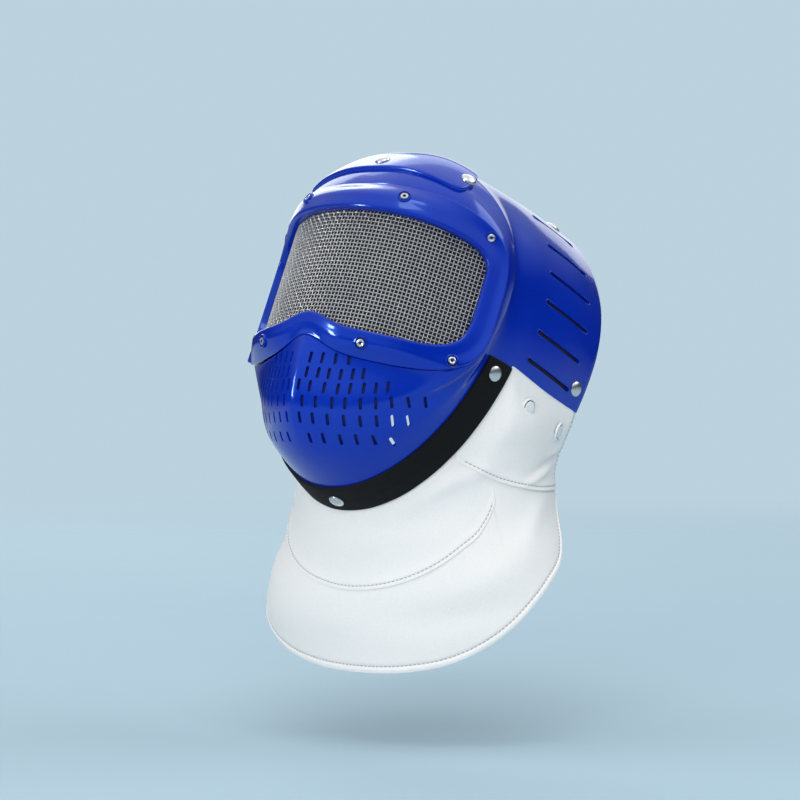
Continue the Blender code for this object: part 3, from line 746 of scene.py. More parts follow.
def buildBezel():
    look = bezelLook
    angles = faceAngles(look["upper"], look["lower"])
    knots = np.arange(len(look["section"]))
    fine = np.linspace(0, knots[-1], 3 * int(knots[-1]) + 1)
    outs = np.clip(curveThrough(knots, [row["out"] for row in look["section"]], fine), 0, look["reach"])
    rises = curveThrough(knots, [row["rise"] for row in look["section"]], fine) * look["lip"]
    under = look["seatGap"] - visor["setback"]

    def onFrame(share, rise):
        return onBezel(angles, np.full_like(angles, share), np.full_like(angles, rise))

    columns = [onFrame(0.0, under)]
    columns += [onFrame(share, rise) for share, rise in zip(outs, rises)]
    columns += [shellFace(angles, np.full_like(angles, ring), rise) for ring, rise in look["underside"]]
    columns.append(onFrame(visor["border"] + look["tuck"], under))
    faces = gridFaces(len(angles), len(columns), closed=True, looped=True)
    mesh = makeMesh("visor_frame", placed(np.stack(columns, 1)), faces, [finishes["blue"]])
    piece = addPiece("visor_frame", mesh, ["visor_bezel"])
    sharpen(piece, 50)


buildBezel()
print("visor frame built")


def visorPlace(x, z, rise):
    step = nudge["across"]
    slope = (visorY(x + step) - visorY(x - step)) / (2 * step)
    out = unit(np.stack([slope, -np.ones_like(slope), np.zeros_like(slope)], -1))
    return np.stack([x, visorY(x), z], -1) + out * np.asarray(rise, float)[..., None], out


def buildWires():
    around = np.linspace(1e-4, math.pi - 1e-4, 3000)
    edge = bezelPoint(around, np.full_like(around, visor["wireReach"]))
    over = around <= math.pi / 2
    topX, topZ = edge[over, 0], edge[over, 2]
    lowX, lowZ = edge[~over, 0][::-1], edge[~over, 2][::-1]
    # arc length along the bend, so that the wires stand evenly
    fineX = np.linspace(0, float(edge[:, 0].max()), 800)
    run = np.concatenate([[0], np.cumsum(np.hypot(np.diff(fineX), np.diff(visorY(fineX))))])
    pitch = visor["pitch"]
    middle = -visor["setback"] - visor["wireSink"]
    sway = visor["wireRadius"] * visor["wireSway"]
    uprights = []
    for k in range(-int(run[-1] / pitch), int(run[-1] / pitch) + 1):
        x = math.copysign(float(np.interp(abs(k) * pitch, run, fineX)), k)
        top = float(np.interp(abs(x), topX, topZ))
        low = float(np.interp(abs(x), lowX, lowZ))
        if top - low < 3 * pitch:
            continue
        z = np.arange(low, top, pitch / visor["stepsPerPitch"])
        points, out = visorPlace(np.full_like(z, x), z, middle + sway * np.cos(math.pi * (z / pitch + k)))
        uprights.append((placed(points), tipped(out)))
    crosses = []
    arc = np.arange(-run[-1], run[-1], pitch / visor["stepsPerPitch"])
    xs = np.sign(arc) * np.interp(np.abs(arc), run, fineX)
    topAt = np.interp(np.abs(xs), topX, topZ)
    lowAt = np.interp(np.abs(xs), lowX, lowZ)
    for m in range(int(lowZ.min() / pitch), int(topZ.max() / pitch) + 1):
        z = m * pitch
        inside = (z > lowAt) & (z < topAt)
        starts = np.flatnonzero(np.diff(np.concatenate([[0], inside.astype(int), [0]])))
        for first, last in zip(starts[::2], starts[1::2]):
            if last - first < visor["leastSteps"]:
                continue
            x = xs[first:last]
            rise = middle - sway * np.cos(math.pi * (arc[first:last] / pitch + m))
            points, out = visorPlace(x, np.full_like(x, z), rise)
            crosses.append((placed(points), tipped(out)))
    for name, lines, replaced in (("visor_wires_upright", uprights, []),
                                  ("visor_wires_cross", crosses, ["visor_mesh"])):
        points, faces = tubeMesh(lines, visor["wireRadius"], visor["wireSides"])
        addPiece(name, makeMesh(name, points, faces, [finishes["wire"]]), replaced)
        print(name, len(lines), "wires", len(faces), "faces")


def buildVisorShadeSheet():  # a thin curved dark sheet between the wires, painted shade for the shadowed inside of the mask seen through the mesh
    angles = faceAngles(60, 50)
    rim = bezelPoint(angles, np.full_like(angles, visor["screenReach"]))
    centre = helmet["height"] * rings[0]["sideZ"]
    shares = np.linspace(0.02, 1, 14)
    x = rim[:, None, 0] * shares
    z = centre + (rim[:, None, 2] - centre) * shares
    points, _ = visorPlace(x, z, np.full_like(x, -visor["setback"] - visor["screenSink"]))
    faces = gridFaces(len(angles), len(shares), closed=True)
    faces.append([i * len(shares) for i in range(len(angles))][::-1])
    screen = addPiece("visor_screen", makeMesh("visor_screen", placed(points), faces, [finishes["screen"]]))
    modify(screen, "SOLIDIFY", thickness=visor["screenThick"], offset=0)
    settle(screen)


buildWires()
buildVisorShadeSheet()
print("visor built")


plateLook = {
    "halfSpan": math.radians(36),
    "lowRing": 1.62,
    "highRing": 3.55,
    "roundStart": 0.70,
    "sag": 0.25,
    "sagEnd": 0.75,
    "lift": 0.10,
    "thick": 0.0028,
    "edge": 0.0016,
    "gap": 0.0002,
    "sink": 0.0008,
    "columns": 141,
    "rows": 41,
}


def edgeProfile(distance, edge):  # 0 at an edge, 1 past it, round like a moulded corner
    t = np.clip(distance / edge, 0, 1)
    return np.sqrt(np.maximum(1 - (1 - t) ** 2, 0))


def buildPlate():
    look = plateLook
    u = np.sin(np.linspace(-math.pi / 2, math.pi / 2, look["columns"]))
    v = np.sin(np.linspace(-math.pi / 2, math.pi / 2, look["rows"]))
    sag = look["sag"] * smooth(np.abs(u) / look["sagEnd"])
    low = look["lowRing"] - sag + look["lift"] * smooth(np.abs(u))
    past = np.maximum(np.abs(u) - look["roundStart"], 0) / (1 - look["roundStart"])
    half = (look["highRing"] - low) / 2 * np.maximum(np.sqrt(np.maximum(1 - past ** 2, 0)), 0.02)
    middle = (low + look["highRing"]) / 2
    angle = (look["halfSpan"] * u)[:, None] + 0 * v
    ring = middle[:, None] + half[:, None] * v
    flat = shellPoint(angle, ring)
    # distance of every point from the nearest edge, along and across
    centre = flat[:, look["rows"] // 2]
    width = np.linalg.norm(flat[:, -1] - flat[:, 0], axis=-1)[:, None] * (1 - np.abs(v)) / 2
    ends = [np.linalg.norm(centre - tip, axis=-1) for tip in (centre[0], centre[-1])]
    away = np.minimum(np.minimum(*ends)[:, None] + 0 * v, width)
    rise = look["gap"] + look["thick"] * edgeProfile(away, look["edge"])
    rise[:, (0, -1)] = -look["sink"]
    rise[(0, -1), :] = -look["sink"]
    mesh = makeMesh("brow_plate", placed(onShell(angle, ring, rise)), gridFaces(*ring.shape),
                    [finishes["blue"]])
    sharpen(addPiece("brow_plate", mesh, ["crown_plate"]), 60)


buildPlate()


strapLook = {
    "thick": 0.0018,
    "edge": 0.0007,
    "gap": 0.0003,
    "ripple": 0.00012,
    "ripples": (0.0061, 0.0173),
    "middleRing": 4.5,
    "halfRings": 0.4975,
    "cornerGap": 0.01,
    "rows": 31,
    "columns": 260,
}


def buildStrap():
    look = strapLook
    angle = evenAngles(helmet["corner"] + look["cornerGap"], math.pi - 1e-5, look["columns"] // 2,
                       look["middleRing"])
    angle[-1] = math.pi
    angle = np.concatenate([angle, (math.tau - angle[:-1])[::-1]])
    v = np.sin(np.linspace(-math.pi / 2, math.pi / 2, look["rows"]))
    a, r = np.meshgrid(angle, look["middleRing"] + look["halfRings"] * v, indexing="ij")
    flat = shellPoint(a, r)
    run = runAlong(flat[:, look["rows"] // 2])
    wide = runAlong(flat)
    away = np.minimum(wide, wide[:, -1:] - wide)
    away = np.minimum(away, np.minimum(run, run[-1] - run)[:, None])
    short, long = look["ripples"]
    ripple = look["ripple"] * np.sin(run / short) * np.sin(run / long + 1.0)
    rise = look["gap"] + look["thick"] * edgeProfile(away, look["edge"]) + ripple[:, None]
    rise[:, (0, -1)] = -look["gap"]
    rise[(0, -1), :] = -look["gap"]
    uvs = np.stack([run[:, None] + 0 * wide, wide], -1)
    mesh = makeMesh("jaw_strap", placed(onShell(a, r, rise)), gridFaces(*r.shape), [finishes["web"]], uvs)
    sharpen(addPiece("jaw_strap", mesh, ["chin_strap"]), 60)


buildStrap()
print("plate and strap built")


# Bib: level sections of the hanging cloth. Heights are shares of drop from the chin's tip.
bib = {
    "drop": 0.141,
    "neckHalfWidth": 0.103,
    "neckFrontY": 0.026,
    "thick": 0.0020,
    "backEdge": math.radians(118),
    "columns": 20,
    "yokeColumn": 11,
    "panelColumn": 8,
    "pull": 0.045,
    "edgeGap": 0.003,  # folds start this far under the shell's edge, and grow over freeing
    "freeing": 0.02,
    "foldWidth": 1.1,
}
clothSections = [
    dict(height=-1.00, front=1.30, width=1.28, depth=0.93),
    dict(height=-0.62, front=1.04, width=1.25, depth=0.93),
    dict(height=-0.37, front=1.02, width=1.14, depth=0.925),
    dict(height=-0.16, front=1.00, width=1.03, depth=0.922),
    dict(height=0.00, front=1.00, width=1.00, depth=0.922),
    dict(height=0.39, front=0.69, width=1.085, depth=1.05),
    dict(height=0.80, front=0.50, width=1.14, depth=1.12),
]
clothLines = {  # height as a share of drop at an angle in degrees from the front
    "hem": [(-20, -0.98), (0, -1.00), (20, -0.98), (35, -0.93), (50, -0.83), (61, -0.73), (72, -0.62),
            (82, -0.53), (100, -0.38), (112, -0.21), (118, -0.075)],
    "yoke": [(-17, -0.52), (0, -0.555), (17, -0.52), (31, -0.445), (46, -0.325), (56.5, -0.230),
             (62.5, -0.135), (65.7, -0.05), (67, 0.025)],
    "panel": [(46, 0.15), (67, 0.028), (87, -0.028), (118, -0.050)],
}


def clothLine(name, angle):
    line = clothLines[name]
    degrees = np.degrees(np.abs(angle))
    return curveThrough([row[0] for row in line], [row[1] for row in line], degrees) * bib["drop"]


def clothSection(height):
    heights = [row["height"] for row in clothSections]
    share = np.asarray(height, float) / bib["drop"]
    sizes = {"front": bib["neckFrontY"], "width": bib["neckHalfWidth"], "depth": bib["neckHalfWidth"]}
    return [curveThrough(heights, [row[key] for row in clothSections], share) * size
            for key, size in sizes.items()]


def clothPoint(angle, height):
    front, width, depth = clothSection(height)
    return np.stack([width * np.sin(angle), front + depth - depth * np.cos(angle), height + 0 * angle], -1)


def clothAngle(points):
    front, width, depth = clothSection(points[..., 2])
    return np.arctan2(points[..., 0] / width, (front + depth - points[..., 1]) / depth)


def shellEdge():  # the shell's lower edge in the hanging frame, chin to rear corner
    drop = -helmet["wall"] / 2 + bib["thick"] / 2
    around = np.linspace(math.pi, helmet["corner"], 160)
    back = np.linspace(helmet["jawRing"], helmet["rearRing"], 60)[1:]
    low = onShell(around, np.full_like(around, helmet["jawRing"]), np.full_like(around, drop))
    rear = onShell(np.full_like(back, helmet["corner"]), back, np.full_like(back, drop))
    edge = tipped(np.concatenate([low, rear]))
    angles = clothAngle(edge)
    order = np.argsort(angles)
    offsets = edge - clothPoint(angles, edge[:, 2])
    return angles[order][::6], edge[order, 2][::6], offsets[order][::6]


edgeAngles, edgeHeights, edgeOffsets = shellEdge()
clothFolds = [  # soft folds: where, in degrees and share of drop; its run, its width, and its height
    dict(degrees=44, share=0.02, lean=0.30, run=0.040, wide=0.007, rise=0.0028),
    dict(degrees=36, share=-0.14, lean=0.24, run=0.045, wide=0.010, rise=-0.0014),
    dict(degrees=60, share=-0.44, lean=0.35, run=0.050, wide=0.014, rise=0.0026),
    dict(degrees=44, share=-0.66, lean=0.15, run=0.060, wide=0.012, rise=-0.0022),
    dict(degrees=85, share=-0.20, lean=0.70, run=0.030, wide=0.009, rise=0.0018),
    dict(degrees=95, share=0.045, lean=0.26, run=0.019, wide=0.0030, rise=0.0022),
    dict(degrees=99, share=0.105, lean=0.26, run=0.021, wide=0.0030, rise=-0.0020),
    dict(degrees=106, share=0.155, lean=0.26, run=0.017, wide=0.0032, rise=0.0016),
    dict(degrees=75, share=0.30, lean=0.25, run=0.035, wide=0.012, rise=0.0010),
    dict(degrees=10, share=-0.30, lean=0.10, run=0.050, wide=0.016, rise=0.0014),
    dict(degrees=-15, share=-0.72, lean=-0.10, run=0.060, wide=0.016, rise=0.0018),
    dict(degrees=-38, share=0.00, lean=-0.35, run=0.040, wide=0.009, rise=0.0022),
    dict(degrees=-52, share=-0.50, lean=-0.25, run=0.055, wide=0.014, rise=0.0024),
    dict(degrees=-50, share=-0.74, lean=-0.10, run=0.060, wide=0.034, rise=0.0066),
    dict(degrees=-78, share=-0.30, lean=-0.60, run=0.035, wide=0.010, rise=0.0018),
    dict(degrees=-95, share=0.08, lean=-0.75, run=0.020, wide=0.0045, rise=0.0020),
    dict(degrees=-70, share=0.32, lean=-0.25, run=0.035, wide=0.012, rise=0.0010),
]


def clothOut(angle, height):
    along = clothPoint(angle + 0.01, height) - clothPoint(angle - 0.01, height)
    rise = clothPoint(angle, height + 0.001) - clothPoint(angle, height - 0.001)
    return unit(np.cross(along, rise))


def foldRise(angle, height):
    run = angle * bib["neckHalfWidth"] * bib["foldWidth"]
    total = np.zeros_like(run)
    for fold in clothFolds:
        x = run - math.radians(fold["degrees"]) * bib["neckHalfWidth"] * bib["foldWidth"]
        z = height - fold["share"] * bib["drop"]
        c = math.cos(math.atan(fold["lean"]))
        s = math.sin(math.atan(fold["lean"]))
        along = (x * c + z * s) / fold["run"]
        across = (z * c - x * s) / fold["wide"]
        total += fold["rise"] * np.exp(-along ** 2 - across ** 2)
    return total


def edgeHeight(angle):  # where the shell's lower edge holds the cloth
    return curveThrough(edgeAngles, edgeHeights, np.abs(angle))


def clothSpot(angle, height, rise=0.0):
    limit = edgeHeight(angle)
    pull = np.stack([curveThrough(edgeAngles, edgeOffsets[:, k], np.abs(angle)) for k in range(3)], -1)
    pull[..., 0] *= np.sign(angle)
    hold = 1 - smooth((limit - height) / bib["pull"])
    free = smooth((limit - height - bib["edgeGap"]) / bib["freeing"])
    out = clothOut(angle, height)
    lift = np.asarray(rise, float) + foldRise(angle, height) * free
    return clothPoint(angle, height) + pull * hold[..., None] + out * lift[..., None] - seat


seamLook = {
    "overlap": 0.0045,
    "lift": 0.0013,
    "liftRun": 0.012,
    "hemIn": 0.0050,
    "hemGroove": (0.0011, 0.0008),  # depth, width
    "hemSink": 0.0005,
    "seamIn": 0.0030,
    "seamGroove": (0.0007, 0.0007),
    "backReach": 0.04,  # the overlap narrows this near the back edge, in radians
    "backOverlap": 0.4,
    "insideFrom": 0.05,
    "insideOver": 0.10,
    "leastSkirt": 0.004,
    "leastYoke": 0.002,
    "leastPanel": 0.003,
    "sideColumns": 46,
    "frontColumns": 150,
    "yokeColumns": 190,
    "panelColumns": 110,
    "puff": 0.0007,
    "puffIn": 0.0022,
    "skirtTuck": 0.0014,  # how far a top edge sinks behind the piece above
    "yokeTuck": 0.0013,
    "tuckRun": 0.007,
    "under": 0.0012,  # how far the top edges go up behind the shell's edge
    "edgeRound": 0.0006,
    "stitch": 0.0026,
    "stitchGap": 0.0009,
    "threadRadius": 0.00030,
    "threadSides": 6,
    "threadRings": 6,
    "threadSink": 0.0003,
    "firstStitch": 0.001,
    "seamShare": 0.80,  # of the lift that a seam's thread stands on
    "stitchEnds": {"hem": 0.02, "yoke": 0.02, "panelFront": 0.06, "panelBack": 0.03, "rear": 0.045},
    "rearEnds": (0.006, 0.004),  # the upright row stops short of the seam and of the shell
    "edgeRows": [0, 0.3, 0.6, 1.0, 1.5, 2.1, 2.8, 3.4, 3.9, 4.4, 5.0, 5.8, 7.0, 8.5, 10.5],  # mm
    "middleRows": 20,
    "fullHeight": 0.030,  # pieces lower than this squeeze their edge rows
}


def buildClothPiece(name, angles, bottom, top, rise, slotNode):
    # rows stand closer at both edges, where the seams are; rise(angle, low, high) shapes the edges
    look = seamLook
    near = np.array(look["edgeRows"]) / 1000
    total = top - bottom
    squeeze = np.clip(total / look["fullHeight"], 0.02, 1.0)
    ends = near[-1] * squeeze
    rows = [bottom + d * squeeze for d in near]
    rows += [bottom + ends + (total - 2 * ends) * share
             for share in np.linspace(0, 1, look["middleRows"] + 2)[1:-1]]
    rows += [top - d * squeeze for d in near[::-1]]
    heights = np.stack(rows, 1)
    a = angles[:, None] + 0 * heights
    points = clothSpot(a, heights, rise(a, heights - bottom[:, None], top[:, None] - heights))
    run = runAlong(points[:, len(rows) // 2])
    tall = runAlong(points)
    first = points[1:, 1:] - points[:-1, :-1]
    second = points[:-1, 1:] - points[1:, :-1]
    area = float(0.5 * np.linalg.norm(np.cross(first, second), axis=-1).sum())
    mesh = makeMesh(name, points, gridFaces(*heights.shape), [finishes["hide"], finishes["back"]])
    piece = addPiece(name, mesh, [slotNode])
    modify(piece, "SOLIDIFY", thickness=bib["thick"], offset=-1, material_offset=1)
    modify(piece, "BEVEL", width=look["edgeRound"], segments=2, limit_method="ANGLE",
           angle_limit=math.radians(55))
    settle(piece)
    sharpen(piece, 55)
    flat = (float(run[-1]), float(tall[:, -1].max()))
    print(name, "flat", [round(v, 4) for v in flat], "area", round(area, 5))
    return piece, flat, area


def groove(distance, place, depth, width):
    return -depth * np.exp(-((distance - place) / width) ** 2)


def stitchMesh(paths):  # short raised threads along lines
    look = seamLook
    radius, sides, count = look["threadRadius"], look["threadSides"], look["threadRings"]
    share = np.linspace(0, 1, count)
    arch = radius * (0.9 * np.sin(share * math.pi) - 0.35)
    thick = radius * np.sqrt(np.clip(1 - (2 * share - 1) ** 4, 0.02, 1))
    points = []
    faces = []
    for line, outs in paths:
        run = runAlong(line)
        step = look["stitch"] + look["stitchGap"]
        for first in np.arange(look["firstStitch"], run[-1] - look["stitch"], step):
            spots = first + share * look["stitch"]
            centre = np.stack([np.interp(spots, run, line[:, k]) for k in range(3)], -1)
            out = unit(np.stack([np.interp(spots, run, outs[:, k]) for k in range(3)], -1))
            side = unit(np.cross(unit(centre[-1] - centre[0])[None, :], out))
            faces += tubeFaces(len(points), count, sides)
            ring = tubeRings(centre + out * arch[:, None], side, out, thick, sides)
            points += ring.reshape(-1, 3).tolist()
    return points, faces


def buildBib():
    look = seamLook
    backEdge = bib["backEdge"]
    step = backEdge / bib["columns"]
    panelStart = step * bib["panelColumn"]
    yokeEnd = step * bib["yokeColumn"]

    def tuck(high, depth):
        return -depth * (1 - smooth(high / look["tuckRun"]))

    def hemRise(a, low, high):
        puff = look["puff"] * np.exp(-((low - look["puffIn"]) / look["puffIn"]) ** 2)
        return puff + groove(low, look["hemIn"], *look["hemGroove"]) + tuck(high, look["skirtTuck"])

    def overRise(a, low, high):  # the lower edge lies over the next piece
        lift = look["lift"] * (1 - smooth(low / look["liftRun"]))
        return lift + groove(low, look["seamIn"], *look["seamGroove"])

    def yokeRise(a, low, high):
        inside = smooth((np.abs(a) - panelStart + look["insideFrom"]) / look["insideOver"])
        return overRise(a, low, high) + tuck(high, look["yokeTuck"]) * inside

    made = {}
    angles = np.concatenate([np.linspace(-backEdge, -yokeEnd, look["sideColumns"])[:-1],
                             np.linspace(-yokeEnd, yokeEnd, look["frontColumns"]),
                             np.linspace(yokeEnd, backEdge, look["sideColumns"])[1:]])
    top = np.where(np.abs(angles) < yokeEnd, clothLine("yoke", angles), clothLine("panel", angles))
    atBack = np.abs(angles) > backEdge - look["backReach"]
    top = top + look["overlap"] * np.where(atBack, look["backOverlap"], 1.0)
    bottom = np.minimum(clothLine("hem", angles), top - look["leastSkirt"])
    made["bib_skirt"] = buildClothPiece("bib_apron", angles, bottom, top, hemRise, "bib_skirt")

    angles = np.linspace(-yokeEnd, yokeEnd, look["yokeColumns"])
    size = np.abs(angles)
    under = np.minimum(clothLine("panel", angles) + look["overlap"], edgeHeight(angles) + look["under"])
    top = np.where(size < panelStart, edgeHeight(angles) + look["under"], under)
    bottom = np.minimum(clothLine("yoke", angles), top - look["leastYoke"])
    made["bib_yoke"] = buildClothPiece("bib_collar", angles, bottom, top, yokeRise, "bib_yoke")

    for name, side in (("left", 1), ("right", -1)):
        angles = np.linspace(panelStart, backEdge, look["panelColumns"])
        if side < 0:
            angles = -angles[::-1]
        top = edgeHeight(angles) + look["under"]
        bottom = np.minimum(clothLine("panel", angles), top - look["leastPanel"])
        made["neck_panel_" + name] = buildClothPiece("neck_guard_" + name, angles, bottom, top, overRise,
                                                     "neck_panel_" + name)
    paths = []  # of the stitches

    def path(angles, heights, rise):
        line = clothSpot(angles, heights, np.full_like(angles, rise))
        paths.append((line, clothOut(angles, heights)))

    seamRise = look["lift"] * look["seamShare"] - look["threadSink"]
    ends = look["stitchEnds"]
    a = np.linspace(-backEdge + ends["hem"], backEdge - ends["hem"], 900)
    path(a, clothLine("hem", a) + look["hemIn"], -look["hemSink"])
    a = np.linspace(-yokeEnd + ends["yoke"], yokeEnd - ends["yoke"], 500)
    path(a, clothLine("yoke", a) + look["seamIn"], seamRise)
    for side in (1, -1):
        a = side * np.linspace(panelStart + ends["panelFront"], backEdge - ends["panelBack"], 240)
        path(a, clothLine("panel", a) + look["seamIn"], seamRise)
        a = side * np.full(160, backEdge - ends["rear"])
        low, high = float(clothLine("panel", a)[0]), float(edgeHeight(a)[0])
        path(a, np.linspace(low + look["rearEnds"][0], high - look["rearEnds"][1], len(a)), 0.0)
    points, faces = stitchMesh(paths)
    addPiece("bib_stitches", makeMesh("bib_stitches", points, faces, [finishes["thread"]]))
    return made


bibMade = buildBib()
print("bib built")


# Fasteners: each a turned head on what carries it
def turnedMesh(profile, sides):  # profile holds (radius, height) from the middle outwards and down
    turns = np.linspace(0, math.tau, sides, endpoint=False)
    points = [(0.0, 0.0, profile[0][1])]
    for radius, height in profile[1:]:
        points += [(radius * math.cos(turn), radius * math.sin(turn), height) for turn in turns]
    faces = [(0, 1 + k, 1 + (k + 1) % sides) for k in range(sides)]
    for j in range(len(profile) - 2):
        base = 1 + j * sides
        for k in range(sides):
            after = (k + 1) % sides
            faces.append((base + k, base + sides + k, base + sides + after, base + after))
    return points, faces


def turned(name, profile, sides, place, out, materials, picks, slot, replaced):
    basis = Vector(out).to_track_quat("Z", "Y").to_matrix().to_4x4()  # picks: a material for each band
    basis.translation = Vector(place)
    points, faces = turnedMesh(profile, sides)
    mesh = makeMesh(name, [tuple(basis @ Vector(point)) for point in points], faces, materials,
                    picks=np.repeat(picks[:len(profile) - 1], sides).tolist())
    sharpen(addPiece(name, mesh, [replaced]), 40)


fastenerLook = {
    "screwRadius": 0.0052,
    "rivetRadius": 0.0060,
    "snapRadius": 0.0075,
    "rearGap": 0.0002,
    "sides": 40,
    "screws": [dict(x=0.045, z=0.205), dict(x=0.0956, z=0.1975), dict(x=0.0943, z=0.0955),
               dict(x=0.045, z=0.088)],
    "crown_rivet": [dict(degrees=0, ring=2.05), dict(degrees=33.2, ring=2.37),
                    dict(degrees=-33.2, ring=2.37)],
    "strap_rivet": [dict(degrees=180, ring=4.55), dict(degrees=110.5, ring=4.55),
                    dict(degrees=-110.5, ring=4.55)],
    "rear_rivet": [dict(degrees=100.7, ring=6.72), dict(degrees=-100.7, ring=6.72),
                   dict(degrees=27, ring=6.60), dict(degrees=-27, ring=6.60)],
    "snaps": [dict(degrees=80, share=0.41), dict(degrees=105, share=0.27)],
}


def screwProfile(r):  # cup washer, countersunk ring, head with a socket
    return [(0, -0.0004), (0.22 * r, -0.0004), (0.24 * r, 0.0010), (0.40 * r, 0.0013),
            (0.54 * r, 0.0010), (0.58 * r, 0.0004), (0.60 * r, -0.0003), (0.70 * r, -0.0003),
            (0.74 * r, 0.0005), (0.82 * r, 0.0013), (0.93 * r, 0.0011), (r, 0.0003), (r, -0.0012)]


screwPicks = [1, 1, 0, 0, 0, 1, 1, 1, 2, 2, 2, 2]  # steel; dark painted shade in the socket and in the ring round the head; blue
snapPicks = [0, 0, 0, 1, 1, 0, 0, 0, 0, 0]  # cap; dark painted shade in the ring groove


def rivetProfile(r):
    return [(0, 0.0024), (0.20 * r, 0.0024), (0.45 * r, 0.0022), (0.68 * r, 0.0018), (0.86 * r, 0.0012),
            (0.96 * r, 0.0006), (1.0 * r, 0.0001), (0.98 * r, -0.0010)]


def snapProfile(r):
    return [(0, 0.0013), (0.40 * r, 0.0013), (0.62 * r, 0.0011), (0.70 * r, 0.0008),
            (0.74 * r, 0.0003), (0.78 * r, 0.0003), (0.82 * r, 0.0009), (0.90 * r, 0.0010),
            (0.97 * r, 0.0005), (r, -0.0006)]


def buildFasteners():
    look = fastenerLook
    steelSet = [finishes["steel"], finishes["dark"], finishes["blue"]]
    number = 1
    for spot in look["screws"]:
        a, s = np.meshgrid(np.radians(np.linspace(2, 178, 353)), (0.50, 0.56, 0.62, 0.68), indexing="ij")
        points = bezelPoint(a, s)
        miss = (points[..., 0] - spot["x"]) ** 2 + (points[..., 2] - spot["z"]) ** 2
        best = np.unravel_index(np.argmin(miss), miss.shape)
        for side in (1, -1):
            angle = np.array([side * a[best]])
            share = np.array([s[best]])
            out = outOf(bezelPoint, angle, share, 1.0)
            section = bezelLook["section"]
            rise = np.interp(share, [row["out"] for row in section], [row["rise"] for row in section])
            place = onBezel(angle, share, rise * bezelLook["lip"])
            turned(f"frame_screw_{number}", screwProfile(look["screwRadius"]), look["sides"],
                   placed(place)[0], tipped(out)[0], steelSet, screwPicks, "steel", f"bezel_screw_{number}")
            number += 1
    heights = {"crown_rivet": plateLook["thick"] + plateLook["gap"],
               "strap_rivet": strapLook["thick"] + strapLook["gap"], "rear_rivet": look["rearGap"]}
    for name in ("crown_rivet", "strap_rivet", "rear_rivet"):
        for number, spot in enumerate(look[name], 1):
            angle = np.array([math.radians(spot["degrees"])])
            ring = np.array([spot["ring"]])
            out = outOf(shellPoint, angle, ring, helmet["rearRing"])
            place = onShell(angle, ring, heights[name])
            profile = rivetProfile(look["rivetRadius"])
            turned(f"{name}_head_{number}", profile, look["sides"], placed(place)[0], tipped(out)[0],
                   steelSet, [0] * len(profile), "steel", f"{name}_{number}")
    number = 1
    for side in (1, -1):
        for spot in look["snaps"]:
            angle = np.array([side * math.radians(spot["degrees"])])
            height = np.array([spot["share"] * bib["drop"]])
            place = clothSpot(angle, height)
            profile = snapProfile(look["snapRadius"])
            turned(f"snap_head_{number}", profile, look["sides"], place[0], clothOut(angle, height)[0],
                   [finishes["cap"], finishes["dark"]], snapPicks, "white_leather",
                   f"snap_cap_{number}")
            number += 1


buildFasteners()
print("fasteners built")


def declareSheets():
    for node, (piece, flat, area) in bibMade.items():
        least = max(0.3 * flat[0] * flat[1], area)
        min(least, flat[0] * flat[1])


declareSheets()


# Stage: a pale round studio, soft lights, and the camera at the photograph's angle
stageLook = {
    "floorDrop": 0.055,
    "floorRadius": 2.4,
    "firstRadius": 0.1,
    "floorRings": 24,
    "floorSides": 96,
    "fadeStart": 0.9,
    "backdrop": (0.50, 0.645, 0.735, 1),
    "aim": (0.0, -0.05, -0.17),
    "sky": [(0.0, (0.55, 0.62, 0.66)), (0.43, (0.45, 0.54, 0.60)), (0.50, (0.02, 0.03, 0.04)),
            (0.62, (0.03, 0.04, 0.05)), (0.78, (0.55, 0.62, 0.68)), (1.0, (1.0, 1.0, 1.0))],  # down to up
    "lights": [  # shines: seen in the gloss; fills: lights the matt surfaces too
        dict(name="fill", place=(1.2, -2.4, 0.35), size=(2.2, 2.0), power=44, colour=(1.0, 0.985, 0.97),
             shines=False),
        dict(name="side_fill", place=(-2.2, -1.6, 0.5), size=(2.0, 2.0), power=16, colour=(1.0, 0.99, 0.98),
             shines=False),
        dict(name="overhead", place=(0.5, -0.7, 1.7), size=(0.7, 0.5), power=4, colour=(1.0, 0.99, 0.97),
             shines=True),
        dict(name="back_high", place=(1.3, 1.1, 1.55), size=(1.8, 1.0), power=12, colour=(0.95, 0.98, 1.0),
             shines=True),
        dict(name="back_right", place=(-1.7, 1.2, 0.8), size=(1.0, 1.6), power=10, colour=(0.95, 0.98, 1.0),
             shines=True),
        dict(name="window", place=(-0.60, -1.64, 0.36), size=(0.22, 0.62), power=14, colour=(1.0, 1.0, 1.0),
             shines=True, fills=False),
        dict(name="back_top", place=(-0.65, 1.20, 1.20), size=(1.5, 0.7), power=4, colour=(0.90, 0.95, 1.0),
             shines=True, fills=False),
        dict(name="rim", place=(-0.85, 1.75, 0.30), size=(1.5, 0.8), power=4.5, colour=(0.92, 0.96, 1.0),
             shines=True, fills=False),
    ],
}


def buildWorld():  # pale behind the object; in its gloss, a studio with a dark middle and a bright roof
    world = bpy.data.worlds.new("studio")
    world.use_nodes = True
    sky = Nodes(world.node_tree)
    up = sky.node("SeparateXYZ", inputs={"Vector": sky.node("TexCoord")}, output=2)
    studio = sky.node("ValToRGB", {"stops": stageLook["sky"]}, {"Fac": up * 0.5 + 0.5})
    seen = sky.node("LightPath")
    sky.plug(sky.tree.nodes["Background"].inputs["Color"], sky.mix(seen, studio, stageLook["backdrop"]))
    bpy.context.scene.world = world


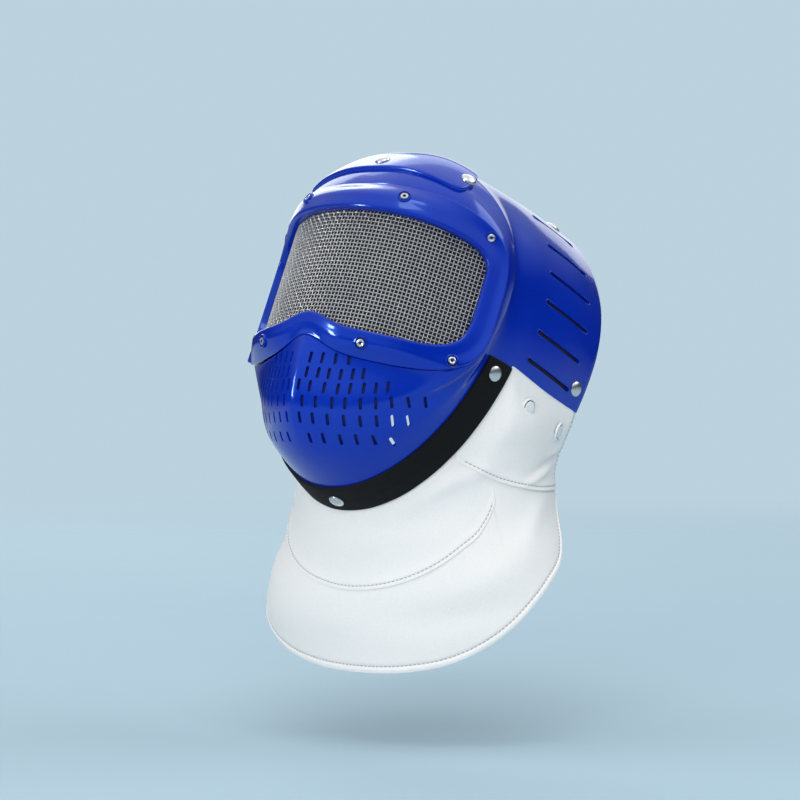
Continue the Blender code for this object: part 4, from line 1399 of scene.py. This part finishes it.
def buildStage():
    look = stageLook
    floorZ = cadBox[0].z - look["floorDrop"]
    radii = [0.0, *np.linspace(look["firstRadius"], look["floorRadius"], look["floorRings"])]
    points, faces = turnedMesh([(radius, floorZ) for radius in radii], look["floorSides"])
    pale = Finish("pale_floor", roughness=0.75, specularLevel=0.1)
    cloud = pale.noise(3, 2)
    here = pale.node("TexCoord", output=3)
    reach = pale.node("VectorMath", {"operation": "LENGTH"}, {0: here}, output=1)
    pale.set(baseColor=pale.mix(cloud, (0.40, 0.54, 0.62, 1), (0.42, 0.56, 0.64, 1)),
             alpha=1 - pale.ramp(reach, look["fadeStart"], look["floorRadius"] * 0.97))
    mesh = makeMesh("studio_floor", points, faces, [pale.material])
    floor = bpy.data.objects.new("studio_floor", mesh)
    bpy.context.scene.collection.objects.link(floor)
    for light in look["lights"]:
        lamp = bpy.data.lights.new(light["name"], "AREA")
        lamp.shape = "RECTANGLE"
        lamp.size, lamp.size_y = light["size"]
        lamp.energy = light["power"]
        lamp.color = light["colour"]
        item = bpy.data.objects.new(light["name"], lamp)
        item.location = light["place"]
        ahead = Vector(look["aim"]) - Vector(light["place"])
        item.rotation_euler = ahead.to_track_quat("-Z", "Y").to_euler()
        item.visible_glossy = light["shines"]
        item.visible_diffuse = light.get("fills", True)
        item.visible_camera = False
        bpy.context.scene.collection.objects.link(item)
    buildWorld()
    bpy.context.scene.view_settings.view_transform = "Standard"


cameraLook = {
    "azimuth": math.radians(36.9),
    "elevation": math.radians(2.6),
    "distance": 2.2,
    "aim": (0.0298, -0.1150, -0.1595),
    "lens": 132.5,
}


def buildCamera():
    look = cameraLook
    level = math.cos(look["elevation"])
    away = Vector((math.sin(look["azimuth"]) * level, -math.cos(look["azimuth"]) * level,
                   math.sin(look["elevation"])))
    data = bpy.data.cameras.new("camera")
    data.lens = look["lens"]
    data.sensor_width = 36
    camera = bpy.data.objects.new("camera", data)
    camera.location = Vector(look["aim"]) + away * look["distance"]
    camera.rotation_euler = (-away).to_track_quat("-Z", "Y").to_euler()
    bpy.context.scene.collection.objects.link(camera)
    bpy.context.scene.camera = camera


buildStage()
buildCamera()
print("cad box", [round(v, 4) for v in (*cadBox[0], *cadBox[1])])
